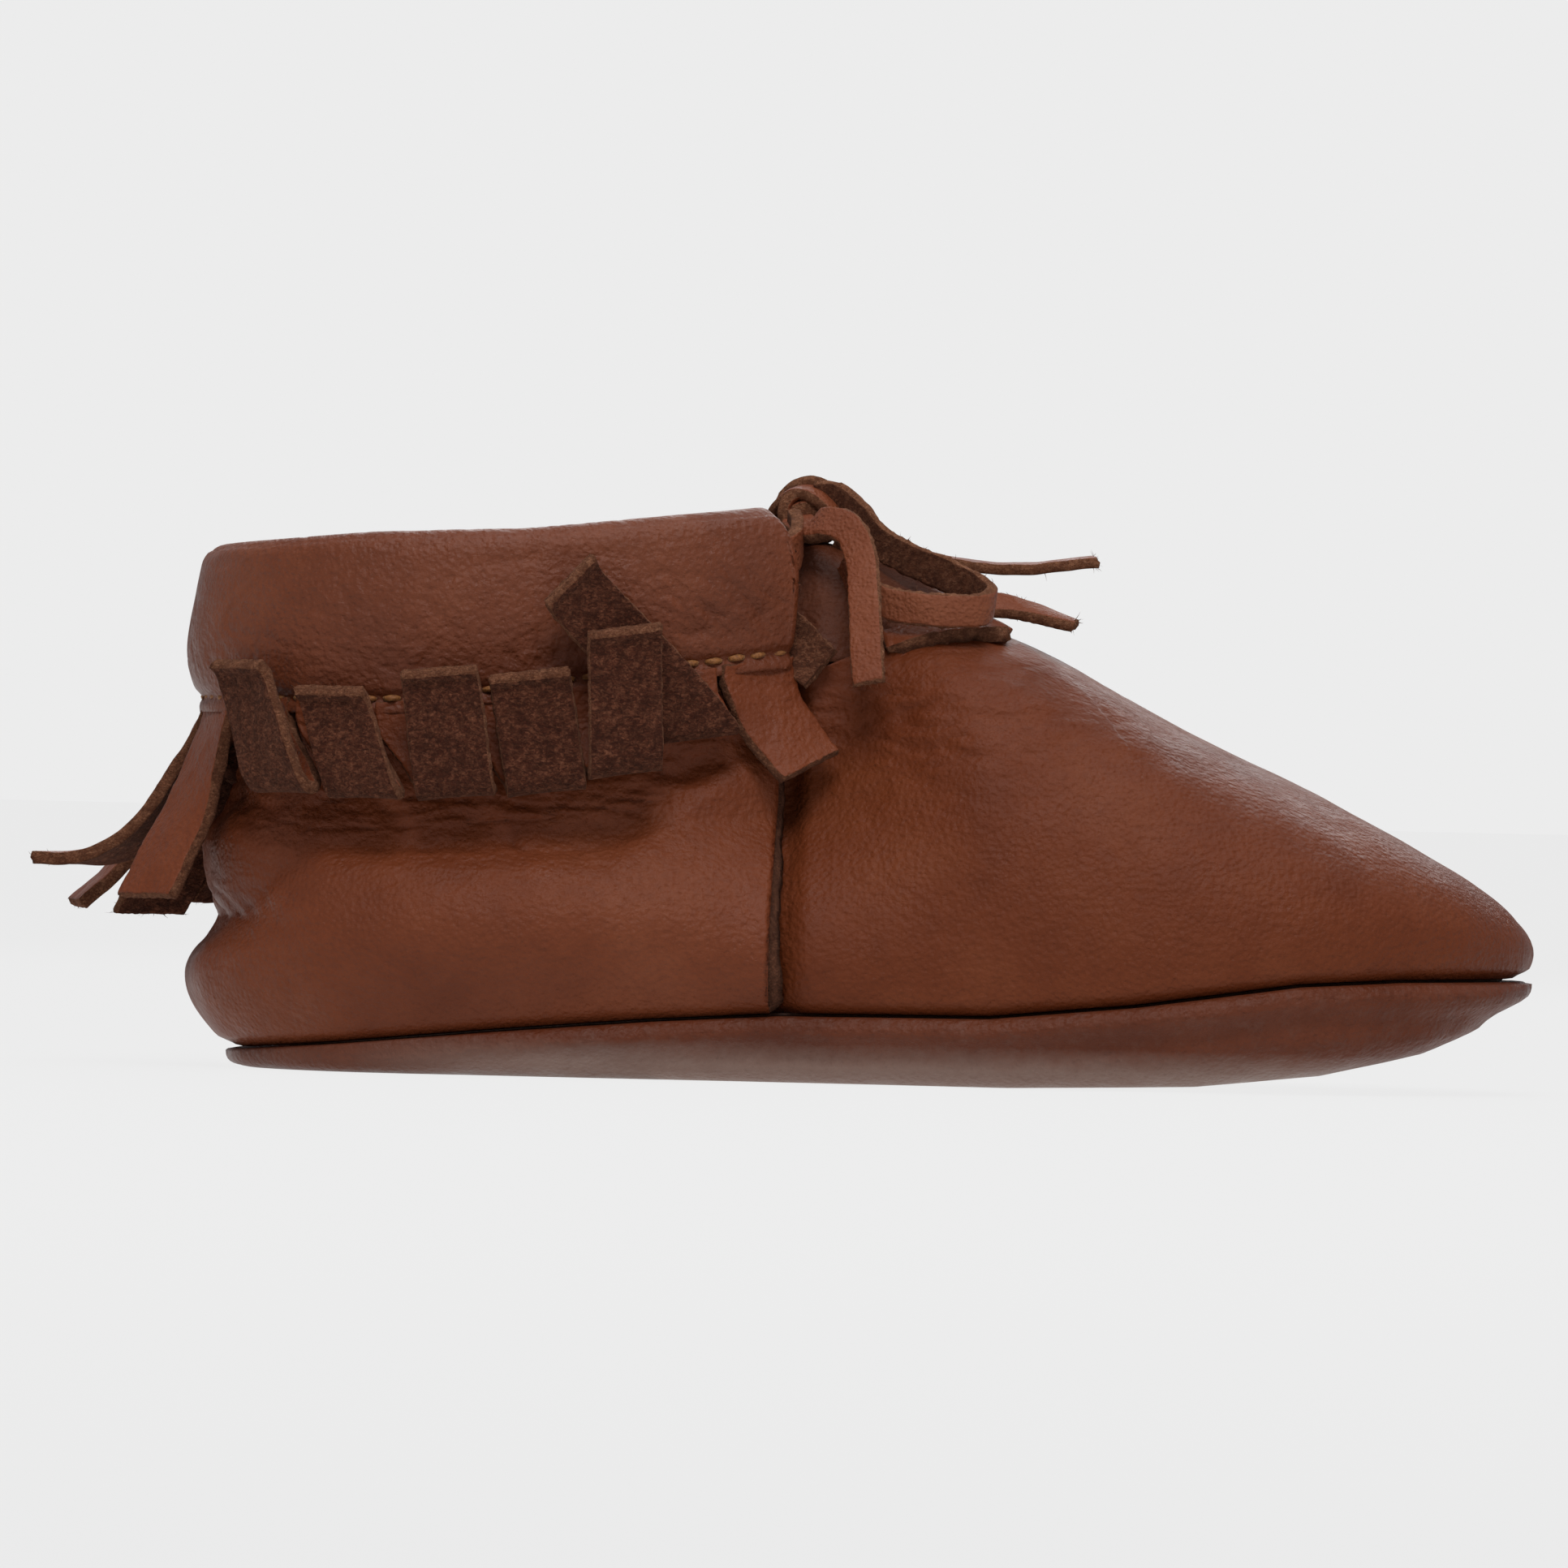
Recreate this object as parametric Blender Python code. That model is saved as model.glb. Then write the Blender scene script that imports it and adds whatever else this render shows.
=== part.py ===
"""A soft-soled leather moccasin for a baby: turned-up sole, vamp, heel quarter, fringed cuff and a lace
tied in a bow. +X points to the toe, +Z up, and the origin lies on the flat of the sole.

Lengths are in millimetres here; every mesh is made at MM times its numbers, so the objects are in metres."""

import math

import bpy
import numpy as np

MM = 0.001

# Driving dimensions of the whole shoe.
HEEL_X = -61.5
TOE_X = 64.3
GAP = 0.35  # clear space between neighbouring pieces
LEATHER = 1.2  # thickness of the upper
SOLE_LEATHER = 1.4
SOLE_FLAT = 0.86  # share of the sole's half width that lies flat before it curls up
FLAT_TO = 32.0  # the sole lies flat on the floor from the heel to here
SEAM_THREAD = 0.5
PAD_THICK = 2.5
LINER_THICK = 0.8
INSOLE_SHARE = 0.86  # the insole's outline as a share of the sole seam's

SEAM_THREAD_INSET = SOLE_LEATHER + SEAM_THREAD / 2 + 0.65  # from the seam's outer edge to the thread
SEAM_THREAD_LOWEST = 2.6  # at the heel the thread stays above the sole's inner face

# Sole seam in plan, as (x, half width), and its height, as (x, z).
SEAM_PLAN = [
    (HEEL_X, 0.0), (-59.5, 10.5), (-51.0, 19.5), (-38.0, 22.8), (-20.0, 23.2), (0.0, 24.6),
    (20.0, 27.6), (33.0, 28.0), (46.0, 24.6), (57.0, 16.5), (62.8, 8.0), (TOE_X, 0.0),
]
SEAM_HEIGHT = [(-61.5, 1.9), (-50.0, 2.9), (-36.0, 4.3), (-20.0, 5.7), (-8.0, 6.5), (12.0, 6.7),
               (26.0, 8.1), (42.0, 10.4), (52.0, 11.0), (64.3, 11.2)]
TOE_SPRING = [(FLAT_TO, 0.0), (44.0, 1.4), (54.0, 3.7), (60.0, 6.2), (64.3, 9.2)]

# Cuff: its path in plan as (x, half width) from the middle of the heel to its front edge, and its heights.
CUFF_PLAN = [(-64.4, 0.0), (-61.5, 11.5), (-53.0, 19.5), (-41.0, 22.6), (-26.0, 22.2), (-14.0, 19.4),
             (-7.0, 15.2)]
CUFF_TOP = [(-65.0, 50.2), (-48.6, 51.5), (-33.0, 52.2), (-21.4, 53.4), (-7.0, 55.0)]
STITCH_HEIGHT = [(-65.0, 35.8), (-45.4, 35.9), (-30.0, 37.9), (-17.0, 39.9), (-6.7, 41.5)]
CUFF_HEM = 1.5  # from the stitch row down to where the fringe begins
CUFF_LEATHER = 1.1
TUNNEL = 1.9  # clear width inside the cuff for the lace
CUFF_DEPTH = TUNNEL + 2 * CUFF_LEATHER
QUARTER_INSET = CUFF_LEATHER + 0.4  # the quarter's top sits this far inside the cuff's face
QUARTER_TUCK = 3.0  # how far the quarter reaches up inside the cuff above the stitch row
STITCH_THREAD = 0.5

# Upper.
WALL_LEAN_RISE = 22.0  # above the seam, the wall has moved over from the seam's plan to the cuff's by here
WAIST_HALF = 2.2  # half height of the crease
BELLY = 3.4  # how far the quarter rolls out over the sole seam
BELLY_RISE = 7.0  # height of that roll's middle above the seam
WAIST_RISE = 12.0  # height of the crease above it
WAIST_DEPTH = 0.9
THROAT = (12.0, 44.0)  # x and z of the vamp's throat on the centre line
SPINE = [THROAT, (17.9, 41.5), (25.8, 37.3), (33.7, 33.4), (41.6, 29.9), (49.4, 25.9), (54.0, 23.0)]
VAMP_REAR_X = -15.0  # the vamp's hidden rear edge, under the quarter
VAMP_DROP = 2.6  # the vamp's rear top edge stops this far below the stitch row
RIBS = 34  # ribs on each half of the upper
FLAP_FROM, FLAP_TO = 1.5, 18.5  # where the front flap's inner edge runs
FLAP_LIFT = 1.9
VAMP_UNDER = 3.1  # how far the vamp lies inside the quarter's face where they lap
QUARTER_FRONT_X = -8.5

# Fringe.
STRIPS = 17
STRIP_GAP = 0.7
STRIP_LEATHER = 1.2
FOLDED = {  # strips on the near side that have curled up: fold and end, forward and up of the root
    1: (1.0, -4.8, -4.6, 9.6), 2: (2.0, -6.4, 2.2, 6.8), 3: (3.0, -7.5, 2.3, 3.4), 4: (3.7, -7.3, 2.0, 4.4),
    5: (4.3, -7.1, 0.8, 2.8), 6: (4.6, -7.0, 0.8, 5.0),
}
FOLD_OUT = 3.0  # how far a folded strip's end stands out from its root
BACK_SPREAD = {7: 34, 8: 50, 9: 30, 10: 38, 16: 30}  # degrees that a hanging strip's tip leans out
PLAIN_SPREAD = 16
FRONT_STRIP = (20, 36, 46, 52, 54, 54)  # how the front strip curves out, in degrees
FRONT_LENGTH = 13.0
FRONT_SWAY = 0.2  # how far forward it leans for each millimetre down
STRIP_LENGTH = 20.0

# Lace.
LACE_WIDTH = 3.8
LACE_THICK = 1.3
LACE_BELOW_TOP = 4.6  # the lace's middle, below the cuff's folded top
KNOT = (-3.6, 0.0, 54.6)
KNOT_RADIUS = (2.7, 2.6)  # along the shoe and upwards
KNOT_RINGS = [(-3.4, 0.5), (-2.6, 0.85), (-1.0, 1.0), (1.0, 1.0), (2.6, 0.85), (3.4, 0.5)]  # y, share of radius
PIVOTS = {  # where each loose end leaves the knot or the throat
    "bow_loop_near": (-0.4, -4.8, 55.6),
    "bow_loop_far": (-0.4, 4.8, 55.6),
    "lace_tail_near": (-2.9, -5.8, 55.0),
    "lace_tail_far": (0.6, 0.0, 52.4),
    "front_flap_strip": (13.4, -1.6, 47.4),
}
LOOP_LINE = [(-0.4, 4.8, 56.6), (3.5, 5.2, 55.4), (8.0, 6.8, 52.6), (11.6, 9.0, 49.4), (12.8, 11.0, 46.9),
             (11.6, 12.6, 45.9), (8.4, 13.0, 45.9), (4.6, 12.0, 46.2), (2.0, 9.6, 47.4), (0.4, 7.4, 49.4),
             (-0.6, 5.8, 51.4)]
NEAR_TAIL_LINE = [(0.3, -9.0, 54.6), (1.9, -13.2, 52.2), (2.0, -17.0, 47.8), (1.4, -19.8, 42.6),
                  (0.7, -21.2, 37.4)]
FAR_TAIL_LINE = [(7.0, 1.0, 50.6), (14.0, 1.6, 50.2), (22.0, 2.4, 50.9)]
FLAP_STRIP_LINE = [(16.5, -2.4, 46.6), (21.5, -3.0, 44.3)]
TONGUE_LINE = [(17.0, 38.6), (11.0, 40.4), (5.0, 43.4), (-1.0, 47.0), (-5.5, 49.6)]  # x and z, front to back
TONGUE_HALF = (7.0, 9.0)  # half width at the front and at the back
TONGUE_DROP = 3.0  # how much lower its sides are than its middle


# ---------------------------------------------------------------- curves and surfaces

def smooth(points, count):
    """`count` points, evenly spaced along a smooth curve through `points`."""
    points = np.array(points, float)
    ends = np.vstack([2 * points[0] - points[1], points, 2 * points[-1] - points[-2]])
    fine = []
    for a, b, c, d in zip(ends, ends[1:], ends[2:], ends[3:]):
        for t in np.linspace(0, 1, 24, endpoint=False):
            fine.append(0.5 * (2 * b + (c - a) * t + (2 * a - 5 * b + 4 * c - d) * t**2
                               + (3 * b - a - 3 * c + d) * t**3))
    fine.append(points[-1])
    fine = np.array(fine)
    run = np.concatenate([[0], np.cumsum(np.linalg.norm(np.diff(fine, axis=0), axis=1))])
    wanted = np.linspace(0, run[-1], count)
    return np.column_stack([np.interp(wanted, run, fine[:, i]) for i in range(fine.shape[1])])


def height(table, x):
    return float(np.interp(x, [p[0] for p in table], [p[1] for p in table]))


def ease(value, start, end):
    t = min(max((value - start) / (end - start), 0.0), 1.0)
    return t * t * (3 - 2 * t)


def outline(half, count):
    """A closed plan outline, `count` points on each half, from the heel by the near side (-Y) to the toe."""
    near = smooth(half, count)
    far = near[-2:0:-1]
    return np.vstack([near * (1, -1), far])


def plan_normals(path, closed):
    """Unit normals in plan, to the right of a path that runs heel, near side, toe: outward."""
    if closed:
        ahead, behind = np.roll(path, -1, axis=0), np.roll(path, 1, axis=0)
        step = ahead - behind
    else:
        step = np.gradient(path, axis=0)
    normal = np.column_stack([step[:, 1], -step[:, 0]])
    return normal / np.linalg.norm(normal, axis=1)[:, None]


def cuff_path(count):
    """The cuff's outer face in plan, from its near front edge round the heel to its far front edge."""
    half = smooth(CUFF_PLAN, count)
    near = half[::-1] * (1, -1)
    path = np.vstack([near, half[1:]])
    return path, -plan_normals(path, False)


# ---------------------------------------------------------------- making objects

def material(name, colour, roughness):
    found = bpy.data.materials.new(name)
    found.use_nodes = True
    shader = found.node_tree.nodes["Principled BSDF"]
    shader.inputs["Base Color"].default_value = (*colour, 1)
    shader.inputs["Roughness"].default_value = roughness
    return found


def new_object(name, points, faces, look, origin=(0, 0, 0), parent=None):
    """A mesh object whose own origin is at `origin`, under an empty when `parent` is given."""
    mesh = bpy.data.meshes.new(name)
    origin = np.array(origin, float)
    mesh.from_pydata([tuple((np.array(p) - origin) * MM) for p in points], [], faces)
    mesh.materials.append(look)
    mesh.shade_smooth()
    mesh.set_sharp_from_angle(angle=math.radians(40))
    made = bpy.data.objects.new(name, mesh)
    made.location = tuple(origin * MM)
    bpy.context.collection.objects.link(made)
    if parent:
        made.parent = parent
    return made


def grid_faces(rows, columns, closed=False, flip=False):
    faces = []
    for r in range(rows - 1):
        for c in range(columns if closed else columns - 1):
            d = (c + 1) % columns
            face = (r * columns + c, r * columns + d, (r + 1) * columns + d, (r + 1) * columns + c)
            faces.append(face[::-1] if flip else face)
    return faces


def thicken(made, thickness):
    """Gives a sheet its thickness on the side its faces look away from."""
    solidify = made.modifiers.new("thickness", "SOLIDIFY")
    solidify.thickness = thickness * MM
    solidify.offset = -1
    solidify.use_even_offset = True
    return made


def sheet(name, rows, look, thickness):
    """A leather sheet through rows of points."""
    points = [p for row in rows for p in row]
    made = new_object(name, points, grid_faces(len(rows), len(rows[0])), look)
    return thicken(made, thickness)


def ribbon(name, centres, sides, widths, thickness, look, origin=(0, 0, 0), square=True):
    """A flat strip along `centres`, whose width lies along `sides`, turned square to its run if asked."""
    centres, sides = np.array(centres, float), np.array(sides, float)
    sides = np.broadcast_to(sides, centres.shape)
    widths = np.broadcast_to(widths, (len(centres),))
    along = np.gradient(centres, axis=0)
    points = []
    for centre, side, run, width in zip(centres, sides, along, widths):
        if square:
            side = side - run * (side @ run) / (run @ run)
        side = side / np.linalg.norm(side) * width / 2
        up = np.cross(run, side)
        up = up / np.linalg.norm(up) * thickness / 2
        points += [centre - side - up, centre + side - up, centre + side + up, centre - side + up]
    last = len(points) - 4
    faces = grid_faces(len(centres), 4, closed=True)
    faces += [(3, 2, 1, 0), (last, last + 1, last + 2, last + 3)]
    return new_object(name, points, faces, look, origin)


def tube(name, centres, radius, look, closed=False):
    """A round thread: a curve with a bevel and filled caps."""
    curve = bpy.data.curves.new(name, "CURVE")
    curve.dimensions = "3D"
    curve.bevel_depth = radius * MM
    curve.bevel_resolution = 1
    curve.use_fill_caps = not closed
    curve.materials.append(look)
    spline = curve.splines.new("POLY")
    spline.points.add(len(centres) - 1)
    for point, place in zip(spline.points, centres):
        point.co = (*(c * MM for c in place), 1)
    spline.use_cyclic_u = closed
    made = bpy.data.objects.new(name, curve)
    bpy.context.collection.objects.link(made)
    return made


# ---------------------------------------------------------------- sole

def sole_rings(count, scale, lift, rim):
    """Rings of the sole from its middle outwards. `scale` shrinks it, `lift` raises it, `rim` curls it up."""
    seam = outline(SEAM_PLAN, count)
    shares = [(0.35, 0), (0.6, 0), (0.76, 0), (SOLE_FLAT, 0)]
    if rim:
        for angle in (22, 45, 68, 90):
            turn = math.radians(angle)
            shares.append((SOLE_FLAT + (1 - SOLE_FLAT) * math.sin(turn), 1 - math.cos(turn)))
    rings = []
    for share, rise in shares:
        ring = []
        for x, y in seam:
            px, py = x * share * scale, y * share * scale
            low = height(TOE_SPRING, px)
            ring.append((px, py, low + lift + (height(SEAM_HEIGHT, x) - low) * rise))
        rings.append(ring)
    return rings


def disc_sheet(name, rings, look, thickness):
    """A sheet from rings, the innermost one closed by one flat face, looking down."""
    points = [p for ring in rings for p in ring]
    count = len(rings[0])
    faces = grid_faces(len(rings), count, closed=True)
    faces.append(tuple(range(count))[::-1])
    return thicken(new_object(name, points, faces, look), thickness)


def make_sole(leather, lining, foam, thread):
    disc_sheet("outsole", sole_rings(22, 1.0, 0.0, True), leather, SOLE_LEATHER)
    pad_lift = SOLE_LEATHER + 2 * GAP
    disc_sheet("insole_pad", sole_rings(20, INSOLE_SHARE, pad_lift, False), foam, PAD_THICK)
    liner_lift = pad_lift + PAD_THICK + GAP
    disc_sheet("sock_liner", sole_rings(20, INSOLE_SHARE, liner_lift, False), lining, LINER_THICK)
    seam = outline(SEAM_PLAN, 26)
    inset = seam - plan_normals(seam, True) * SEAM_THREAD_INSET
    route = [(x, y, max(height(SEAM_HEIGHT, sx), SEAM_THREAD_LOWEST)) for (x, y), (sx, _) in zip(inset, seam)]
    tube("sole_seam_thread", route, SEAM_THREAD / 2, thread, closed=True)


# ---------------------------------------------------------------- upper

def rib_ends(count, tuck):
    """For each rib of the near half of the upper, from the middle of the heel to the toe: its foot on the
    seam and its top, which follows the cuff at `tuck` above the stitches, then the throat, then the spine."""
    seam = smooth(SEAM_PLAN, count)
    front = next(i for i, p in enumerate(seam) if p[0] > QUARTER_FRONT_X + 1)
    cuff = smooth(CUFF_PLAN, front + 1)
    tops = [(x, -y, height(STITCH_HEIGHT, x) + tuck) for x, y in cuff]
    x, y, z = tops[-1]
    over, up = THROAT[0] - x, THROAT[1] - z
    bends = [(x, y, z), (x + over * 0.4, y * 0.78, z + up * 0.6), (x + over * 0.8, y * 0.42, z + up * 0.95)]
    throat = smooth(bends + [(THROAT[0], 0, THROAT[1])], 9)
    spine = smooth([(x, 0, z) for x, z in SPINE], count - front - 8)
    tops += [tuple(p) for p in throat[1:]] + [tuple(p) for p in spine[1:]]
    feet = [(x, -y, height(SEAM_HEIGHT, x) + GAP) for x, y in seam]
    return feet, tops[:count], front


def wall_rib(foot, top, normal, steps):
    """A rib of the quarter: rolls out over the seam, pinches in above it, then stands up to the cuff."""
    rib = []
    for t in steps:
        z = foot[2] + (top[2] - foot[2]) * t
        rise = z - foot[2]
        lean = ease(rise, 0, WALL_LEAN_RISE)
        x = foot[0] + (top[0] - foot[0]) * lean
        y = foot[1] + (top[1] - foot[1]) * lean
        out = BELLY * math.sin(math.pi * min(rise / (2 * BELLY_RISE), 1))
        out -= WAIST_DEPTH * math.exp(-((rise - WAIST_RISE) / WAIST_HALF) ** 2)
        out -= QUARTER_INSET * ease(z, top[2] - 16, top[2] - 10)
        rib.append((x + normal[0] * out, y + normal[1] * out, z))
    return rib


def cap_rib(foot, top, normal, slope, steps):
    """A rib of the vamp: up from the seam and over, level with the spine at its top."""
    foot, top = np.array(foot), np.array(top)
    across = foot - top
    reach = 0.62 * np.linalg.norm(across[:2])
    lead = across[:2] / max(np.linalg.norm(across[:2]), 0.01)
    shoulder = top + np.array([lead[0], lead[1], slope * lead[0]]) * reach
    rise = 0.42 * (top[2] - foot[2])
    hip = foot + np.array([normal[0] * 3.2, normal[1] * 3.2, rise])
    rib = []
    for t in steps:
        s = 1 - t
        point = foot * s**3 + 3 * hip * s * s * t + 3 * shoulder * s * t * t + top * t**3
        rib.append(tuple(point))
    return rib


def upper_ribs(count, steps, tuck):
    """Every rib of the near half, with the quarter's shape at the heel passing into the vamp's."""
    feet, tops, front = rib_ends(count, tuck)
    normals = plan_normals(np.array([(f[0], f[1]) for f in feet]), False)
    normals[0], normals[-1] = (-1, 0), (1, 0)
    ribs = []
    for i, (foot, top) in enumerate(zip(feet, tops)):
        wall = wall_rib(foot, top, normals[i], steps)
        ahead, behind = tops[min(i + 1, count - 1)], tops[i - 1]
        slope = (ahead[2] - behind[2]) / max(ahead[0] - behind[0], 0.5) if i > front + 8 else -0.35
        cap = cap_rib(foot, top, normals[i], slope, steps)
        share = ease(foot[0], QUARTER_FRONT_X, 14)
        ribs.append([tuple(np.array(w) * (1 - share) + np.array(c) * share) for w, c in zip(wall, cap)])
    return ribs, feet, normals


def mirrored_sheet(name, ribs, look, thickness):
    """A leather sheet through the near half's ribs and their mirror image, joined along the middle."""
    places, points, faces = {}, [], []

    def index(point):
        key = tuple(round(v, 3) for v in point)
        if key not in places:
            places[key] = len(points)
            points.append(point)
        return places[key]

    for side in (1, -1):
        for a, b in zip(ribs, ribs[1:]):
            for j in range(len(a) - 1):
                corners = [a[j], b[j], b[j + 1], a[j + 1]]
                face = list(dict.fromkeys(index((x, y * side, z)) for x, y, z in corners))
                if len(face) > 2:
                    faces.append(tuple(face if side == 1 else face[::-1]))
    return thicken(new_object(name, points, faces, look), thickness)


def make_quarter(leather, thread):
    ribs, feet, normals = upper_ribs(RIBS, np.linspace(0, 1, 13), QUARTER_TUCK)
    near = [rib for rib, foot in zip(ribs, feet) if foot[0] <= QUARTER_FRONT_X]
    mirrored_sheet("heel_quarter", near, leather, LEATHER)
    edge, normal = near[-1], normals[len(near) - 1]
    inset = LEATHER + 2 * GAP + SEAM_THREAD / 2
    route = [(x - normal[0] * inset - 1.5, y - normal[1] * inset, z) for x, y, z in edge[1:-3]]
    tube("quarter_seam_thread_near", route, SEAM_THREAD / 2, thread)
    tube("quarter_seam_thread_far", [(x, -y, z) for x, y, z in route], SEAM_THREAD / 2, thread)


def make_vamp(leather):
    ribs, feet, normals = upper_ribs(RIBS, np.linspace(0, 1, 12), -VAMP_DROP)
    near = []
    for rib, foot, normal in zip(ribs, feet, normals):
        if foot[0] < VAMP_REAR_X:
            continue
        under = VAMP_UNDER * (1 - ease(foot[0], QUARTER_FRONT_X + 1, QUARTER_FRONT_X + 9))
        near.append([(x - normal[0] * under, y - normal[1] * under, z) for x, y, z in rib])
    mirrored_sheet("vamp", near, leather, LEATHER)


def make_front_flap(leather):
    """A raw-edged flap round the throat, on top of the vamp, and the one strip that sticks out of it."""
    ribs, _, _ = upper_ribs(RIBS, np.linspace(0.8, 1, 5), -VAMP_DROP)
    near = []
    for rib in ribs:
        if FLAP_FROM < rib[-1][0] < FLAP_TO:
            near.append([(x, y * 1.04, z + FLAP_LIFT) for x, y, z in rib])
    mirrored_sheet("front_flap", near, leather, LEATHER)
    route = smooth([PIVOTS["front_flap_strip"]] + FLAP_STRIP_LINE, 7)
    ribbon("front_flap_strip", route, (0, 1, 0.25), LACE_WIDTH, LEATHER, leather, PIVOTS["front_flap_strip"])


def make_tongue(leather):
    """A tongue from under the vamp's throat, up and back to the knot."""
    rows = []
    for (x, z), half in zip(smooth(TONGUE_LINE, 8), np.linspace(*TONGUE_HALF, 8)):
        rows.append([(x, half * s, z - TONGUE_DROP * s * s) for s in np.linspace(-1, 1, 9)])
    sheet("tongue", rows, leather, LEATHER)


# ---------------------------------------------------------------- cuff

def make_cuff(leather, thread, lace):
    path, outward = cuff_path(18)
    fold = CUFF_DEPTH / 2
    rows = []
    for (x, y), (nx, ny) in zip(path, outward):
        low = height(STITCH_HEIGHT, x) - CUFF_HEM
        top = height(CUFF_TOP, x)
        profile = [(0, low), (0, low + 5), (0, low + 10), (0, top - fold)]
        for angle in (30, 60, 90, 120, 150):
            turn = math.radians(angle)
            profile.append((fold - fold * math.cos(turn), top - fold + fold * math.sin(turn)))
        profile += [(CUFF_DEPTH, top - fold), (CUFF_DEPTH, low + 7), (CUFF_DEPTH, low)]
        rows.append([(x - nx * inset, y - ny * inset, z) for inset, z in profile])
    sheet("cuff_casing", rows, leather, CUFF_LEATHER)

    lift = STITCH_THREAD / 2 + 0.2
    path, outward = cuff_path(40)
    route = []
    for i, ((x, y), (nx, ny)) in enumerate(zip(path, outward)):
        wave = 0.25 * (i % 2)
        route.append((x + nx * (lift + wave), y + ny * (lift + wave), height(STITCH_HEIGHT, x)))
    tube("cuff_stitching", route[1:-1], STITCH_THREAD / 2, thread)

    path, outward = cuff_path(22)
    route = []
    for (x, y), (nx, ny) in zip(path, outward):
        route.append((x - nx * fold, y - ny * fold, height(CUFF_TOP, x) - LACE_BELOW_TOP))
    (x, y, z) = route[0]
    lead = [(x + 5.5, y + 5.5, z + 0.6), (x + 3, y + 2.2, z + 0.2)]
    tail = [(p[0], -p[1], p[2]) for p in lead[::-1]]
    ribbon("cuff_lace", lead + route + tail, (0, 0, 1), LACE_WIDTH, LACE_THICK, lace)


# ---------------------------------------------------------------- fringe

def strip_frame(index):
    """A strip's hinge point, its outward and its along directions, and the cuff length it takes."""
    path, outward = cuff_path(80)
    run = np.concatenate([[0], np.cumsum(np.linalg.norm(np.diff(path, axis=0), axis=1))])
    pitch = run[-1] / STRIPS
    here = (index + 0.5) * pitch
    x, y = (np.interp(here, run, path[:, k]) for k in (0, 1))
    nx, ny = (np.interp(here, run, outward[:, k]) for k in (0, 1))
    size = math.hypot(nx, ny)
    out = np.array([nx / size, ny / size, 0])
    drop = [height(STITCH_HEIGHT, np.interp(here + side * pitch / 2, run, path[:, 0])) for side in (-1, 1)]
    along = np.array([-out[1], out[0], (drop[0] - drop[1]) / pitch])
    hinge = np.array([x, y, min(drop) - CUFF_HEM - GAP])
    return hinge, out, along / np.linalg.norm(along), pitch


def strip_profile(index):
    """The strip's middle line as (forward, outward, upward) from its hinge."""
    half = STRIP_LEATHER / 2
    if index in FOLDED:
        ahead, drop, end_ahead, end_up = FOLDED[index]
        out = FOLD_OUT + (STRIP_LEATHER + 0.8 if index == 2 else 0)
        return [(0, -half, 0), (0.1 * ahead, 0.1 - half, 0.2 * drop), (0.6 * ahead, 0.7, 0.65 * drop),
                (ahead, 0.4 * out, drop + 0.5), (ahead, 0.6 * out, drop), (ahead, 0.85 * out, drop),
                (ahead, out + 0.2, drop + 0.6), ((ahead + end_ahead) / 2, out + 0.6, (drop + end_up) / 2),
                (end_ahead, out + 1.0, end_up)]
    if index == 0:
        steps, length = [math.radians(a) for a in FRONT_STRIP], FRONT_LENGTH
    else:
        length = STRIP_LENGTH
        spread = BACK_SPREAD.get(index, PLAIN_SPREAD)
        bend = 0.6 if 5 <= index <= 11 else 1
        steps = [math.radians(8 + (spread - 8) * ((k + 1) / 6) ** bend) for k in range(6)]
    sway = FRONT_SWAY if index == 0 else 0
    line = [(0, -half, 0), (1.5 * sway, 0.2 - half, -1.5)]
    for turn in steps:
        _, out, up = line[-1]
        reach = (length - 1.5) / len(steps)
        up -= reach * math.cos(turn)
        line.append((-up * sway, out + reach * math.sin(turn), up))
    return line


def make_fringe(leather):
    for index in range(STRIPS):
        hinge, out, along, pitch = strip_frame(index)
        line = strip_profile(index)
        centres = [hinge + along * a + out * o + np.array([0, 0, u]) for a, o, u in line]
        name = f"fringe_strip_{index + 1:02d}"
        ribbon(name, centres, along, pitch - STRIP_GAP, STRIP_LEATHER, leather, hinge, square=False)


# ---------------------------------------------------------------- bow

def make_bow(leather):
    knot = []
    long, tall = KNOT_RADIUS
    for row, size in KNOT_RINGS:
        ring = []
        for k in range(10):
            turn = 2 * math.pi * k / 10
            x, z = long * size * math.cos(turn), tall * size * math.sin(turn)
            ring.append((KNOT[0] + x, KNOT[1] + row, KNOT[2] + z))
        knot.append(ring)
    points = [p for ring in knot for p in ring]
    last = len(points) - 10
    faces = grid_faces(6, 10, closed=True, flip=True)
    faces += [tuple(range(10)), tuple(last + k for k in range(10))[::-1]]
    new_object("bow_knot", points, faces, leather)


def loop_route(side):
    """A bow loop's middle line: out of the knot, forward and down, and back under itself."""
    return [(x, y * side, z) for x, y, z in smooth(LOOP_LINE, 17)]


def make_loops_and_tails(leather):
    for name, side in (("bow_loop_near", -1), ("bow_loop_far", 1)):
        route = loop_route(side)
        ribbon(name, route, (0.1, 0.3 * side, 1.0), LACE_WIDTH * 0.9, LACE_THICK, leather, PIVOTS[name])
    near = smooth([PIVOTS["lace_tail_near"]] + NEAR_TAIL_LINE, 12)
    sides = [(0.8 + 0.02 * k, 0.5 - 0.02 * k, 0.25 - 0.02 * k) for k in range(12)]
    ribbon("lace_tail_near", near, sides, LACE_WIDTH, LACE_THICK, leather, PIVOTS["lace_tail_near"])
    far = smooth([PIVOTS["lace_tail_far"]] + FAR_TAIL_LINE, 10)
    ribbon("lace_tail_far", far, (0.05, 1.0, 0.35), LACE_WIDTH, LACE_THICK, leather, PIVOTS["lace_tail_far"])


# ---------------------------------------------------------------- the whole shoe

def clear_scene():
    for old in list(bpy.data.objects):
        bpy.data.objects.remove(old, do_unlink=True)


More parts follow.
